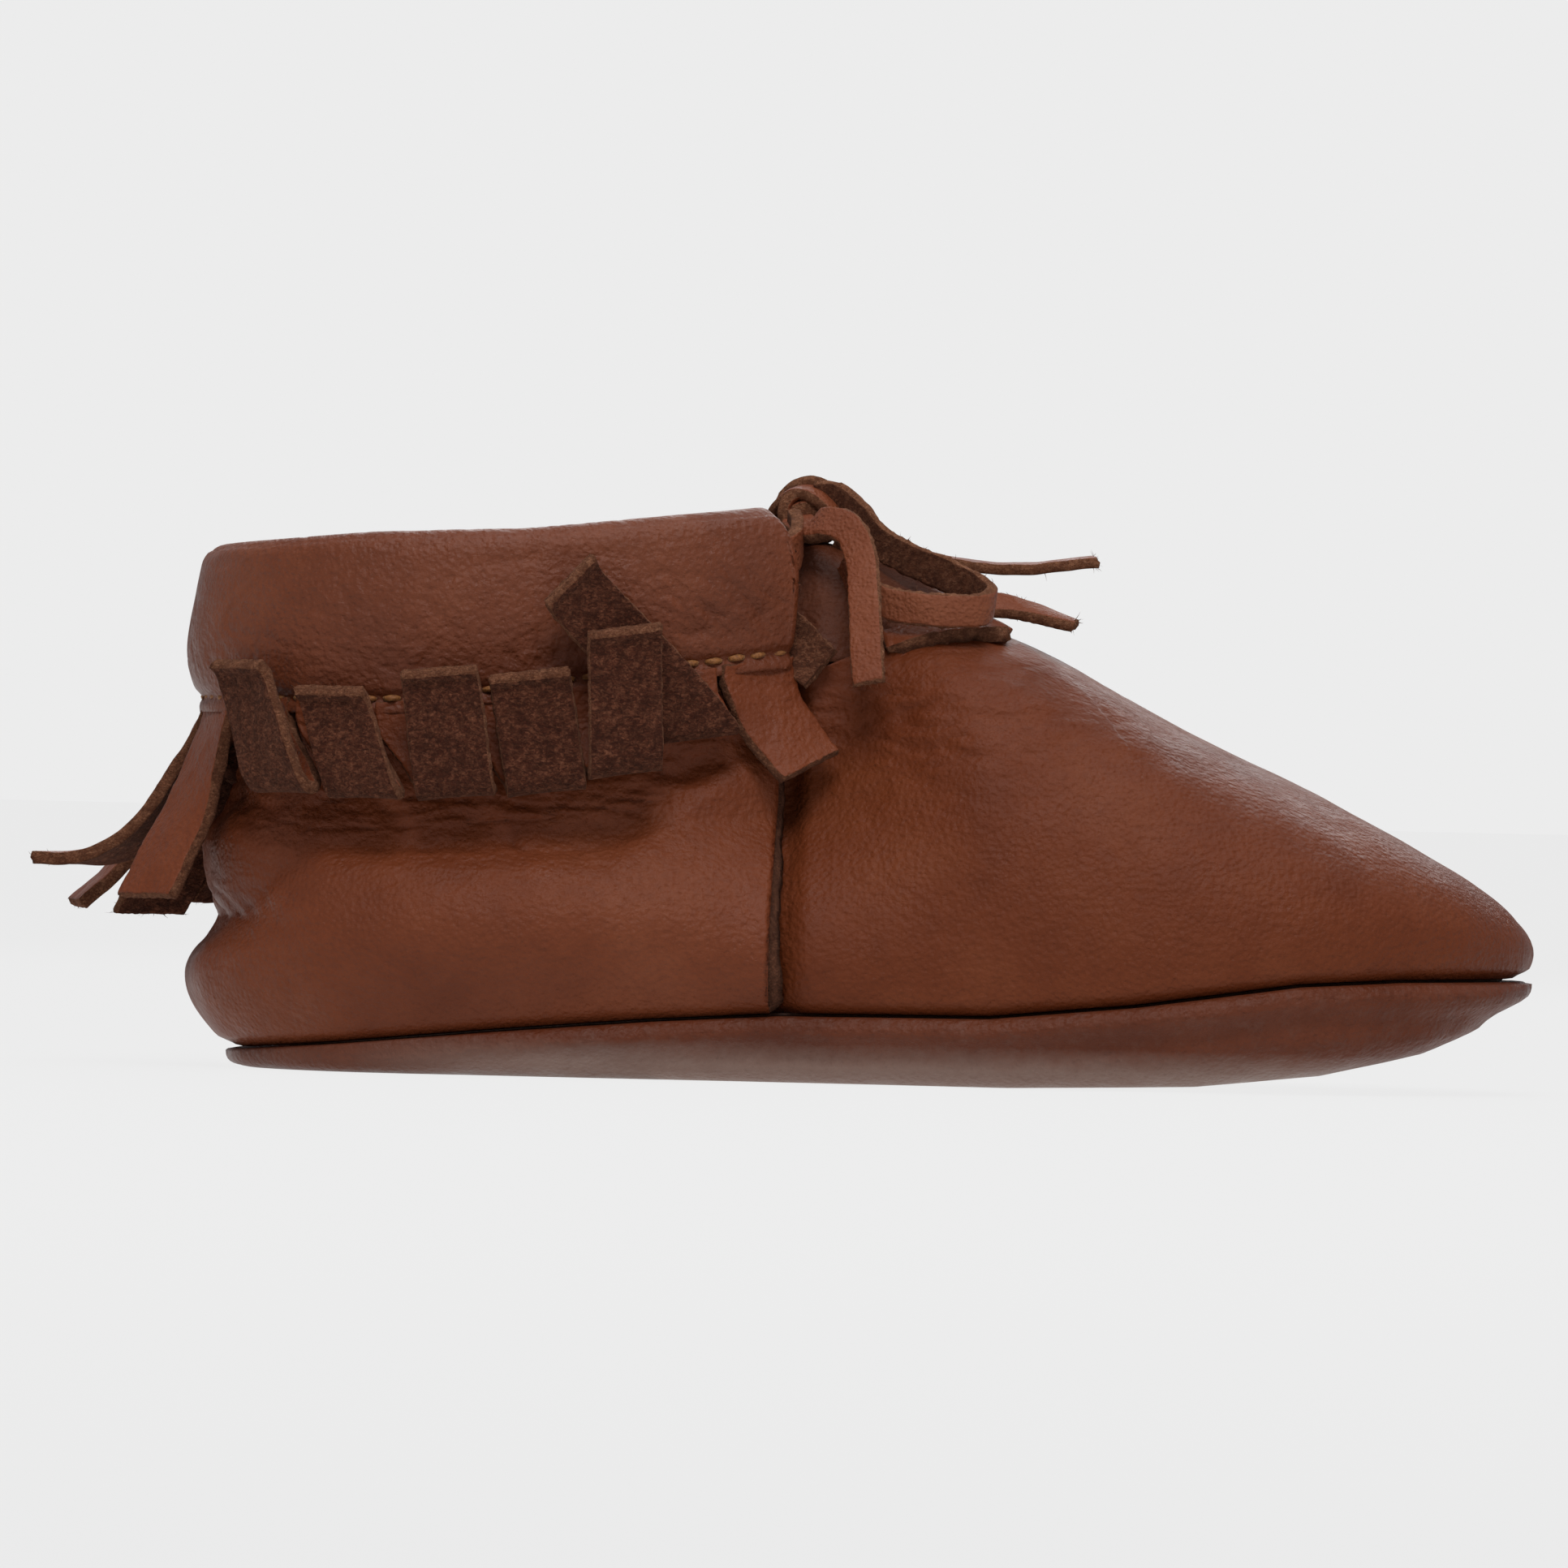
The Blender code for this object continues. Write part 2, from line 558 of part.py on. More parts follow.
def main():
    clear_scene()
    leather = material("tan_leather", (0.15, 0.05, 0.027), 0.45)
    sole_leather = material("sole_leather", (0.13, 0.06, 0.045), 0.6)
    fringe_leather = material("fringe_leather", (0.12, 0.045, 0.028), 0.8)
    lace_leather = material("lace_leather", (0.17, 0.055, 0.028), 0.6)
    thread = material("ochre_thread", (0.35, 0.17, 0.05), 0.7)
    lining = material("lining", (0.45, 0.33, 0.22), 0.9)
    foam = material("insole_foam", (0.7, 0.68, 0.62), 0.95)
    make_sole(sole_leather, lining, foam, thread)
    make_quarter(leather, thread)
    make_vamp(leather)
    make_tongue(leather)
    make_front_flap(fringe_leather)
    make_cuff(leather, thread, lace_leather)
    make_fringe(fringe_leather)
    make_bow(lace_leather)
    make_loops_and_tails(lace_leather)


main()
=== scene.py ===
"""The looks of a baby moccasin with a fringed cuff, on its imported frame.

+X is the toe and +Z is up. Lengths here are millimetres, turned into metres where a mesh is made."""

import math
import random

import bmesh
import bpy
import numpy as np
from mathutils import Matrix, Vector, noise


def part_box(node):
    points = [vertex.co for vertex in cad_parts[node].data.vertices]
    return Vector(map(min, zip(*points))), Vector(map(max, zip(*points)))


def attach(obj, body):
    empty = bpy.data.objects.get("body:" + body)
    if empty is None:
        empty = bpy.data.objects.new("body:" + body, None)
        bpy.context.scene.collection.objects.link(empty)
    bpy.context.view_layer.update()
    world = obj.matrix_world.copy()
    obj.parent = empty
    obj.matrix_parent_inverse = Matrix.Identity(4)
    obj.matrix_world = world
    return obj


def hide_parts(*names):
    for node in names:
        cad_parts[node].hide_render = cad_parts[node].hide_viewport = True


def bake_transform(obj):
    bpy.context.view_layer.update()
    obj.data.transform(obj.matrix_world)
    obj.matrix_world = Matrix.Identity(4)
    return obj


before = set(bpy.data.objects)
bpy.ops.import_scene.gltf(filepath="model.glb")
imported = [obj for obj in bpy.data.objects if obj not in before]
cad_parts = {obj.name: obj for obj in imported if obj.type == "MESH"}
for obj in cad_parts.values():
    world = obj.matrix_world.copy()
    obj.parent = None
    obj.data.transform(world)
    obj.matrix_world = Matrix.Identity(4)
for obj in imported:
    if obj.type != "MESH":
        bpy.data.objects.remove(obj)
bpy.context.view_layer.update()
MM = 0.001

# The shoe's driving dimensions, as the frame has them. Plans are (x, y), heights are (x, z).
HEEL_X, TOE_X = -61.5, 64.3
LEATHER = 1.2
SOLE_LEATHER = 0.9
SOLE_FLAT = 0.80
SEAM_PLAN = [(HEEL_X, 0.0), (-59.5, 10.5), (-51.0, 19.5), (-38.0, 22.8), (-20.0, 23.2), (0.0, 24.6),
             (20.0, 27.6), (33.0, 28.0), (46.0, 24.6), (57.0, 16.5), (62.8, 8.0), (TOE_X, 0.0)]
SEAM_HEIGHT = [(-61.5, 1.9), (-50.0, 2.9), (-36.0, 4.3), (-20.0, 5.7), (-8.0, 6.5), (12.0, 6.7),
               (26.0, 8.1), (42.0, 10.4), (52.0, 11.0), (64.3, 11.2)]
TOE_SPRING = [(14.0, 0.0), (32.0, 0.5), (44.0, 1.7), (54.0, 3.9), (60.0, 6.3), (64.3, 9.2)]
CUFF_PLAN = [(-64.4, 0.0), (-61.5, 11.5), (-53.0, 19.5), (-41.0, 22.6), (-26.0, 22.2), (-14.0, 19.4),
             (-7.0, 15.2)]
CUFF_TOP = [(-65.0, 50.2), (-48.6, 51.5), (-33.0, 52.2), (-21.4, 53.4), (-7.0, 55.0)]
STITCH_HEIGHT = [(-65.0, 35.8), (-45.4, 35.9), (-30.0, 37.9), (-17.0, 39.9), (-6.7, 41.5)]
CUFF_HEM = 1.5
CUFF_LEATHER = 1.1
TUNNEL = 1.9
CUFF_DEPTH = TUNNEL + 2 * CUFF_LEATHER
EDGE_CURL = 1.2  # radius of the cuff's turned-in front edges
QUARTER_INSET = CUFF_LEATHER + 0.4
BELLY = 3.5
BELLY_RISE_HEEL, BELLY_RISE_SIDE = 6.4, 9.4
WAIST_RISE, WAIST_DEPTH = 11.6, 1.1
RECESS_LOW, RECESS = 21.5, 1.5  # under the fringe the quarter falls in by RECESS above this height
THROAT = (12.0, 44.0)
SPINE = [THROAT, (17.9, 41.5), (25.8, 37.3), (33.7, 33.4), (41.6, 29.9), (49.4, 25.9), (54.0, 23.0)]
VAMP_REAR_X, QUARTER_FRONT_X = -15.0, -8.5
VAMP_UNDER = 3.1
TONGUE_SPINE = [(17.0, 38.6), (14.0, 41.2), (10.5, 45.0), (5.2, 48.8), (2.0, 50.0), (-1.5, 51.4),
                (-5.5, 52.3), (-10.5, 52.0)]
PAD_SHARE, PAD_THICK = 0.84, 2.5
LINER_SHARE, LINER_THICK = 0.885, 1.2
STITCH_PITCH, STITCH_THREAD = 2.4, 0.62

STRIPS = 17
STRIP_GAP = 0.35
STRIP_LEATHER = 1.25
# Folded strips: the fold and the end as (forward, up) of the root, and how far out each stands.
FOLDED = {
    1: ((1.6, -4.0), (-11.9, 12.2), 2.2),
    2: ((3.1, -6.5), (2.6, 6.6), 4.7),
    3: ((4.4, -7.4), (2.6, 3.3), 3.1),
    4: ((4.6, -7.1), (3.1, 4.3), 3.2),
    5: ((4.9, -6.9), (2.0, 2.6), 3.0),
    6: ((6.2, -6.5), (1.7, 5.0), 3.3),
}
LEAN = {0: 16.0, 1: 42.0}  # how far these strips' sides turn in their own plane, in degrees
# Hanging strips: their lines as (forward, out, up) of the root, and how far their tips turn, in degrees.
HANGING = {
    0: ([(0.7, 0.3, -2.4), (1.9, 1.4, -5.0), (3.0, 2.7, -7.2), (3.7, 3.7, -8.7)], -4),
    7: ([(0.3, 0.9, -4.0), (0.9, 2.9, -9.0), (1.4, 5.2, -13.6), (1.6, 7.0, -17.6)], -28),
    8: ([(0.0, 1.4, -3.9), (0.2, 5.1, -10.4), (0.5, 8.2, -13.0), (1.0, 11.2, -13.9), (1.4, 14.2, -14.1)], 34),
    9: ([(0.6, 1.6, -4.2), (2.0, 5.2, -10.2), (4.0, 9.4, -15.0), (5.2, 12.6, -18.6)], -30),
    10: ([(1.6, 0.9, -4.0), (4.4, 3.4, -9.6), (6.6, 6.6, -15.0), (7.6, 8.6, -19.4)], 20),
    11: ([(2.0, 0.8, -4.0), (5.6, 2.0, -9.6), (9.0, 3.0, -14.6), (11.0, 3.6, -18.2)], -12),
    12: ([(1.0, 0.6, -4.6), (2.4, 1.9, -10.0), (2.8, 3.8, -15.2), (2.6, 6.2, -19.2)], 8),
    13: ([(0.4, 0.7, -4.6), (1.0, 1.6, -10.0), (1.4, 3.0, -15.2), (1.6, 4.9, -19.8)], -6),
    14: ([(0.8, 0.5, -4.6), (1.9, 1.4, -10.0), (2.6, 3.2, -15.0), (2.8, 5.6, -19.2)], 7),
    15: ([(0.5, 0.8, -4.4), (1.0, 2.2, -9.6), (1.3, 4.2, -14.4), (1.4, 6.8, -18.4)], 5),
    16: ([(1.0, 1.0, -4.2), (2.2, 2.8, -8.8), (3.0, 5.2, -13.2), (3.4, 8.2, -16.8)], -8),
}

LACE_WIDTH, LACE_THICK = 3.8, 1.3
KNOT_MIDDLE = (-5.8, 0.0, 55.2)
LOOP_WIDTH = 3.2
LOOP_LINE = [(-5.4, 1.2, 56.4), (-3.2, 2.2, 56.3), (-1.2, 3.4, 54.6), (0.8, 4.4, 52.3), (3.6, 5.6, 50.7),
             (7.0, 6.8, 49.3), (10.0, 8.4, 47.9), (11.6, 10.6, 46.6), (10.6, 12.8, 45.8), (7.4, 13.6, 45.6),
             (4.2, 13.4, 45.8), (1.4, 12.0, 46.3), (-0.8, 9.6, 47.6), (-2.6, 6.6, 50.0)]
NEAR_TAIL = [(-7.2, -2.4, 54.2), (-7.0, -5.4, 53.8), (-6.0, -8.4, 53.4), (-4.2, -10.6, 53.9),
             (-2.2, -12.0, 53.2), (-1.0, -13.8, 50.6), (-0.6, -16.2, 46.8), (-0.3, -18.6, 42.4),
             (0.0, -20.2, 38.4)]
FAR_TAIL = [(-2.0, 0.4, 53.6), (1.6, 0.2, 52.0), (7.0, 1.0, 50.6), (14.0, 1.6, 50.0), (22.0, 2.4, 50.9)]
FLAP_STRIP = [(10.4, -3.4, 46.4), (13.2, -2.8, 46.4), (16.4, -2.9, 45.7), (20.0, -3.2, 44.6)]

# Colours of each leather's grain side, (base, deep, worn), and of each suede, (base, dark, pale).
UPPER_TONES = ((0.150, 0.036, 0.0125), (0.110, 0.025, 0.0085), (0.182, 0.050, 0.020))
VAMP_TONES = ((0.128, 0.029, 0.009), (0.094, 0.020, 0.006), (0.155, 0.040, 0.014))
CUFF_TONES = ((0.138, 0.034, 0.012), (0.098, 0.023, 0.008), (0.172, 0.049, 0.020))
SOLE_TONES = ((0.108, 0.026, 0.010), (0.078, 0.018, 0.007), (0.138, 0.038, 0.017))
# Painted light: the paler colour of the sole's bottom few millimetres, for light bounced up from the floor.
SOLE_FLOOR_BOUNCE_LIGHT = (0.215, 0.135, 0.108)
LACE_TONES = ((0.172, 0.044, 0.016), (0.130, 0.031, 0.011), (0.215, 0.066, 0.028))
# The tongue's tones are darker than the other leathers: painted shade, standing in for the shadow inside the
# opening behind the cuff's front edges.
TONGUE_SHADE_TONES = ((0.082, 0.022, 0.009), (0.056, 0.014, 0.006), (0.110, 0.032, 0.014))
FLESH_TONES = ((0.078, 0.023, 0.012), (0.028, 0.007, 0.004), (0.19, 0.070, 0.038))
EDGE_TONES = ((0.165, 0.062, 0.031), (0.075, 0.023, 0.011), (0.30, 0.135, 0.074))
LACE_NAP_TONES = ((0.112, 0.038, 0.019), (0.045, 0.013, 0.007), (0.23, 0.098, 0.054))
LACE_EDGE_TONES = ((0.215, 0.085, 0.042), (0.100, 0.032, 0.015), (0.36, 0.17, 0.095))
SEAM_EDGE_TONES = ((0.105, 0.036, 0.018), (0.045, 0.013, 0.007), (0.20, 0.082, 0.045))

BACKDROP = 0.839
FLOOR_GLOW = 0.806
FLOOR_PAPER = 0.03
FLOOR_SIZE = 12.0  # metres from the middle to each side
ROOM = 0.38
VIEW_WIDTH = 149.8  # millimetres that the picture spans at the shoe's near side
VIEW_DISTANCE = 1500.0
VIEW_MIDDLE = (-7.9, -24.0, 28.6)
VIEW_ROLL = math.radians(1.3)
LAMP_TARGET = (0.0, 0.0, 0.03)  # metres


# ---- curves and noise

def smooth(points, count):
    """`count` points, evenly spaced along a smooth curve through `points`."""
    points = np.array(points, float)
    ends = np.vstack([2 * points[0] - points[1], points, 2 * points[-1] - points[-2]])
    fine = []
    for a, b, c, d in zip(ends, ends[1:], ends[2:], ends[3:]):
        for t in np.linspace(0, 1, 24, endpoint=False):
            bend = (2 * a - 5 * b + 4 * c - d) * t**2 + (3 * b - a - 3 * c + d) * t**3
            fine.append(0.5 * (2 * b + (c - a) * t + bend))
    fine.append(points[-1])
    fine = np.array(fine)
    run = run_along(fine)
    wanted = np.linspace(0, run[-1], count)
    return np.column_stack([np.interp(wanted, run, fine[:, i]) for i in range(fine.shape[1])])


def run_along(path):
    """The distance of each point along a line from its start."""
    return np.concatenate([[0], np.cumsum(np.linalg.norm(np.diff(path, axis=0), axis=1))])


def unit(vectors):
    return vectors / np.maximum(np.linalg.norm(vectors, axis=-1, keepdims=True), 1e-9)


def height(table, x):
    """The value at `x` of a table of (x, value) pairs."""
    return np.interp(x, [p[0] for p in table], [p[1] for p in table])


def ease(value, start, end):
    """0 before `start`, 1 after `end` and smooth between."""
    t = np.clip((value - start) / (end - start), 0.0, 1.0)
    return t * t * (3 - 2 * t)


def hump(value, middle, width):
    """A bell, 1 at `middle`."""
    return np.exp(-(((value - middle) / width) ** 2))


def field(points, scale, seed=0.0):
    """Smooth noise from -1 to 1 at each point; `scale` is the size of its features in millimetres."""
    scale = np.broadcast_to(np.array(scale, float), (3,))
    flat = np.asarray(points, float).reshape(-1, 3) / scale + seed
    values = np.array([noise.noise(Vector(p)) for p in flat])
    return values.reshape(np.asarray(points).shape[:-1])


def creases(points, scale, seed, sharpness=0.16):
    """Thin valleys, 1 at their floor and 0 away from them."""
    return np.exp(-((field(points, scale, seed) / sharpness) ** 2))


def plan_normals(path, closed=False):
    """The sideways directions of a line in plan."""
    step = np.roll(path, -1, axis=0) - np.roll(path, 1, axis=0) if closed else np.gradient(path, axis=0)
    return unit(np.column_stack([step[:, 1], -step[:, 0]]))


def outline(half, count):
    """A closed line in plan from its far half, heel to toe."""
    near = smooth(half, count)
    return np.vstack([near * (1, -1), near[-2:0:-1]])


def cuff_path(count):
    """The cuff's line in plan, from the near front edge round the heel to the far one, and its outward
    side."""
    whole = [(x, -y) for x, y in CUFF_PLAN[::-1]] + CUFF_PLAN[1:]
    path = smooth(whole, 2 * count - 1)
    return path, -plan_normals(path)


def grid_normals(grid):
    across = np.gradient(grid, axis=1)
    along = np.gradient(grid, axis=0)
    return unit(np.cross(across, along))


# ---- meshes

def new_piece(name, points, faces, looks, slots=None):
    mesh = bpy.data.meshes.new(name)
    mesh.from_pydata((np.asarray(points, float).reshape(-1, 3) * MM).tolist(), [], faces)
    for look in looks:
        mesh.materials.append(look)
    if slots is not None:
        mesh.polygons.foreach_set("material_index", slots)
    mesh.shade_smooth()
    mesh.update()
    return add_object(name, mesh)


def grid_faces(rows, columns, closed=False, flip=False):
    faces = []
    for r in range(rows - 1):
        for c in range(columns if closed else columns - 1):
            d = (c + 1) % columns
            low, high = r * columns, (r + 1) * columns
            face = (low + c, low + d, high + d, high + c)
            faces.append(face[::-1] if flip else face)
    return faces


def thicken(piece, thickness):
    """Gives a one-sided leather sheet its flesh side (slot 1) and its cut edge (slot 2)."""
    solidify = piece.modifiers.new("thickness", "SOLIDIFY")
    solidify.thickness = thickness * MM
    solidify.offset = -1
    solidify.use_even_offset = False
    solidify.material_offset = 1
    solidify.material_offset_rim = 2
    return piece


def slab(name, block, looks, fuzz=0.12, seed=0, hairs=0):
    """A closed strip of leather from a block of points, [along][across][through the thickness]: its first
    layer is the flesh side (slot 1), its last the grain side (slot 0), and the rest raw edges (slot 2).
    `hairs` loose fibres stick out of its edges."""
    block = roughen(np.array(block, float), fuzz, seed)
    n, m, layers = block.shape[:3]
    index, points, faces, slots = {}, [], [], []

    def skin(corner, first, second, slot):
        """One face, from a corner along the block's axis `first` and round by its axis `second`."""
        face = []
        for ahead, aside in ((0, 0), (1, 0), (1, 1), (0, 1)):
            place = list(corner)
            place[first] += ahead
            place[second] += aside
            place = tuple(place)
            if place not in index:
                index[place] = len(points)
                points.append(block[place])
            face.append(index[place])
        faces.append(tuple(face))
        slots.append(slot)

    for i in range(n - 1):
        for j in range(m - 1):
            skin((i, j, 0), 1, 0, 1)
            skin((i, j, layers - 1), 0, 1, 0)
        for k in range(layers - 1):
            skin((i, 0, k), 0, 2, 2)
            skin((i, m - 1, k), 2, 0, 2)
    for j in range(m - 1):
        for k in range(layers - 1):
            skin((0, j, k), 2, 1, 2)
            skin((n - 1, j, k), 1, 2, 2)
    add_hairs(points, faces, slots, block, hairs, seed)
    return new_piece(name, points, faces, looks, slots)


def add_hairs(points, faces, slots, block, hairs, seed):
    """Thin curved fibres, rooted just inside the raw edges of a block."""
    rng = random.Random(seed)
    n, m, layers = block.shape[:3]
    for _ in range(hairs):
        i, j, k = rng.randrange(n // 4, n), rng.choice((0, m - 1)), rng.randrange(layers)
        if rng.random() < 0.35:
            i, j = n - 1, rng.randrange(m)
        root = block[i, j, k]
        out = unit(root - block[max(i - 3, 0) if i == n - 1 else i, m // 2, layers // 2])
        wander, curl = (np.array([rng.uniform(-1, 1) for _ in range(3)]) for _ in range(2))
        length, radius = rng.uniform(0.2, 0.6), rng.uniform(0.02, 0.045)
        base = len(points)
        for t in (-0.15, 0.3, 0.65, 1.0):
            centre = root + (out * t + 0.45 * wander * t + 0.5 * curl * t * t) * length
            size = radius * (1.15 - t)
            for corner in ((1, 0, 0), (-0.5, 0.8, 0.3), (-0.5, -0.6, -0.6)):
                points.append(centre + size * np.array(corner))
        for ring in range(3):
            for c in range(3):
                a, b = base + ring * 3 + c, base + ring * 3 + (c + 1) % 3
                faces.append((a, b, b + 3, a + 3))
                slots.append(2)
        faces += [(base + 2, base + 1, base), (base + 9, base + 10, base + 11)]
        slots += [2, 2]


def roughen(block, fuzz, seed):
    """Rounds a block's edges a little and frays them."""
    n, m, layers = block.shape[:3]
    middle = block[:, m // 2:m // 2 + 1, layers // 2:layers // 2 + 1]
    frayed = block.copy()
    for k in range(layers):
        inner = 1 - abs(2 * k / (layers - 1) - 1)
        for j in (0, m - 1):
            side = unit(block[:, j, k] - middle[:, 0, 0])
            ragged = field(block[:, j, k], 0.45, seed + 7.3)
            ragged += 0.6 * field(block[:, j, k], 1.6, seed + 2.1)
            frayed[:, j, k] += side * (fuzz * (inner - 0.7) + fuzz * ragged * (0.5 + 0.5 * inner))[:, None]
        for i, step in ((0, 1), (n - 1, -1)):
            out = unit(block[i, :, k] - block[i + 2 * step, :, k])
            ragged = field(block[i, :, k], 0.45, seed + 4.4)
            frayed[i, :, k] += out * (fuzz * (inner - 0.7) + fuzz * ragged)[:, None]
    return frayed


def shake(block, scale, depth, seed=0.0):
    """Moves a block's points a little, by smooth noise."""
    return block + depth * np.stack([field(block, scale, seed + k * 9.1) for k in range(3)], axis=-1)


def strap_block(centres, sides, widths, thickness, across=9, layers=5, cup=0.0, square=True):
    """The block of a strap along `centres`: `sides` point across it, and `cup` curls its edges to its
    flesh side. `square` turns the sides square to the line."""
    count = len(centres)
    sides = np.broadcast_to(np.array(sides, float), (count, 3))
    widths = np.broadcast_to(np.array(widths, float), (count,))
    cup = np.broadcast_to(np.array(cup, float), (count,))
    along = unit(np.gradient(np.array(centres, float), axis=0))
    square_sides = sides - along * np.sum(sides * along, axis=1)[:, None]
    ups = unit(np.cross(along, square_sides))
    used = unit(square_sides if square else sides)
    s = np.linspace(-1, 1, across)[None, :, None, None]
    t = np.linspace(-0.5, 0.5, layers)[None, None, :, None]
    reach = s * widths[:, None, None, None] / 2
    base = np.array(centres)[:, None, None, :] + used[:, None, None, :] * reach
    lift = ups[:, None, None, :]
    return base + lift * (t * thickness) - lift * (s * s) * cup[:, None, None, None]


# ---- materials

class Graph:
    """Short hands for building one material's nodes."""

    def __init__(self, name):
        self.material = bpy.data.materials.new(name)
        self.material.use_nodes = True
        self.tree = self.material.node_tree
        self.shader = self.tree.nodes["Principled BSDF"]
        self.place = self.new("TexCoord").outputs["Object"]

    def put(self, value, socket):
        """Links a socket, or sets a number or a colour on the socket itself."""
        if isinstance(value, bpy.types.NodeSocket):
            self.tree.links.new(value, socket)
        else:
            socket.default_value = (*value, 1) if isinstance(value, tuple) else value

    def new(self, kind, inputs=None, **settings):
        """A node of this kind with these settings, fed with these inputs."""
        node = self.tree.nodes.new("ShaderNode" + kind)
        for name, value in settings.items():
            setattr(node, name, value)
        for name, value in (inputs or {}).items():
            self.put(value, node.inputs[name])
        return node

    def noise(self, size, detail=3.0, roughness=0.55, stretch=None, distortion=0.0):
        """Noise whose features are `size` millimetres across."""
        inputs = {"Scale": 1.0 / (size * MM), "Detail": detail, "Roughness": roughness,
                  "Distortion": distortion, "Vector": self.stretched(stretch)}
        return self.new("TexNoise", inputs).outputs["Fac"]

    def stretched(self, stretch):
        if stretch is None:
            return self.place
        mapping = self.new("Mapping", {"Vector": self.place})
        mapping.inputs["Scale"].default_value = stretch
        return mapping.outputs["Vector"]

    def cells(self, size, feature="F1"):
        inputs = {"Scale": 1.0 / (size * MM), "Vector": self.place}
        return self.new("TexVoronoi", inputs, feature=feature).outputs["Distance"]

    def ramp(self, value, *stops):
        node = self.new("ValToRGB", {"Fac": value})
        elements = node.color_ramp.elements
        while len(elements) < len(stops):
            elements.new(0.5)
        for element, (position, colour) in zip(elements, stops):
            element.position = position
            element.color = (*colour, 1)
        return node.outputs["Color"]

    def mix(self, share, a, b):
        return self.new("Mix", {"Factor": share, "A": a, "B": b}, data_type="RGBA").outputs["Result"]

    def span(self, value, low, high, start=0.0, end=1.0):
        """`value`, with start to end turned into low to high."""
        inputs = {"Value": value, "From Min": start, "From Max": end, "To Min": low, "To Max": high}
        return self.new("MapRange", inputs).outputs["Result"]

    def maths(self, operation, a, b):
        return self.new("Math", {0: a, 1: b}, operation=operation).outputs["Value"]

    def bump(self, layers):
        """Stacks (height socket, depth in millimetres) into one normal."""
        inputs = {}
        for value, depth in layers:
            inputs.update({"Height": value, "Distance": depth * MM})
            inputs["Normal"] = self.new("Bump", inputs).outputs["Normal"]
        self.put(inputs["Normal"], self.shader.inputs["Normal"])

    def finish(self, colour, roughness, specular=0.5, sheen=0.0, sheen_tint=(1, 1, 1)):
        inputs = {"Base Color": colour, "Roughness": roughness, "Specular IOR Level": specular,
                  "Sheen Weight": sheen, "Sheen Roughness": 0.4, "Sheen Tint": sheen_tint}
        for name, value in inputs.items():
            self.put(value, self.shader.inputs[name])
        return self.material


def grain_leather(name, tones, roughness=0.40, grain=0.5, underside=None, specular=0.22):
    """Smooth full-grain leather: cloudy dye, pores and a fine pebble. `underside` is a paler colour painted
    along the bottom few millimetres: painted light for the bright floor's light bounced onto the leather."""
    base, deep, worn = tones
    g = Graph(name)
    clouds = g.noise(14.0, 5.0, 0.62)
    mottled = g.ramp(clouds, (0.25, deep), (0.5, base), (0.78, worn))
    blotch = g.noise(1.5, 5.0, 0.7)
    tone = g.mix(g.span(blotch, 0.0, 0.35, 0.4, 0.75), mottled, deep)
    pores = g.cells(grain * 1.1)
    tone = g.mix(g.span(pores, 0.0, 0.30, 0.5, 0.95), tone, deep)
    scuffs = g.noise(3.0, 6.0, 0.75, stretch=(1.0, 1.0, 2.2))
    tone = g.mix(g.span(scuffs, 0.0, 0.3, 0.6, 0.8), tone, worn)
    gloss = g.span(g.noise(4.0, 6.0, 0.7), roughness - 0.09, roughness + 0.12, 0.32, 0.68)
    pebble = g.cells(grain, "SMOOTH_F1")
    folds = g.noise(1.7, 4.0, 0.6, stretch=(0.8, 0.8, 1.4), distortion=0.4)
    fine = g.noise(grain * 0.4, 3.0, 0.65)
    g.bump([(folds, 0.20), (pebble, 0.17), (fine, 0.08)])
    if underside:
        # Painted light: the bottom few millimetres are paled towards `underside`, less so under the heel, for
        # the floor's bounced light.
        at = g.new("SeparateXYZ", {"Vector": g.place}).outputs
        low = g.span(at["Z"], 0.95, 0.0, 1.6 * MM, 4.0 * MM)
        low = g.maths("ADD", low, g.span(blotch, -0.12, 0.12, 0.3, 0.7))
        before_heel = g.span(at["X"], 0.1, 1.0, -50 * MM, -30 * MM)
        tone = g.mix(g.maths("MULTIPLY", low, before_heel), tone, underside)
    return g.finish(tone, gloss, specular=specular)


def suede(name, tones, fibre=0.36):
    """The napped flesh side: short fibres, blotchy, no gloss."""
    base, dark, pale = tones
    g = Graph(name)
    nap = g.noise(fibre, 4.0, 0.72, stretch=(0.75, 0.75, 1.25), distortion=0.9)
    clumps = g.noise(1.1, 5.0, 0.75, distortion=0.5)
    tone = g.ramp(nap, (0.34, dark), (0.5, base), (0.68, pale))
    tone = g.mix(g.span(clumps, 0.0, 0.75, 0.44, 0.62), tone, dark)
    tone = g.mix(g.span(g.noise(0.7, 3.0, 0.6), 0.0, 0.5, 0.6, 0.74), tone, pale)
    g.bump([(clumps, 0.40), (nap, 0.30)])
    return g.finish(tone, 0.95, specular=0.1, sheen=0.12, sheen_tint=(0.9, 0.5, 0.32))


def thread_look(name, base, dark):
    g = Graph(name)
    fibres = g.noise(0.22, 3.0, 0.6)
    tone = g.ramp(fibres, (0.35, dark), (0.62, base))
    g.bump([(fibres, 0.05)])
    return g.finish(tone, 0.6, specular=0.3, sheen=0.2, sheen_tint=(1.0, 0.8, 0.5))


def plain_look(name, base, dark, roughness, size):
    g = Graph(name)
    speckle = g.noise(size, 4.0, 0.6)
    g.bump([(speckle, 0.08)])
    return g.finish(g.ramp(speckle, (0.35, dark), (0.6, base)), roughness)


def leather(looks, grain, edge="edge"):
    """The looks of a sheet's grain side, its flesh side and its cut edge."""
    return [looks[grain], looks["flesh"], looks[edge]]


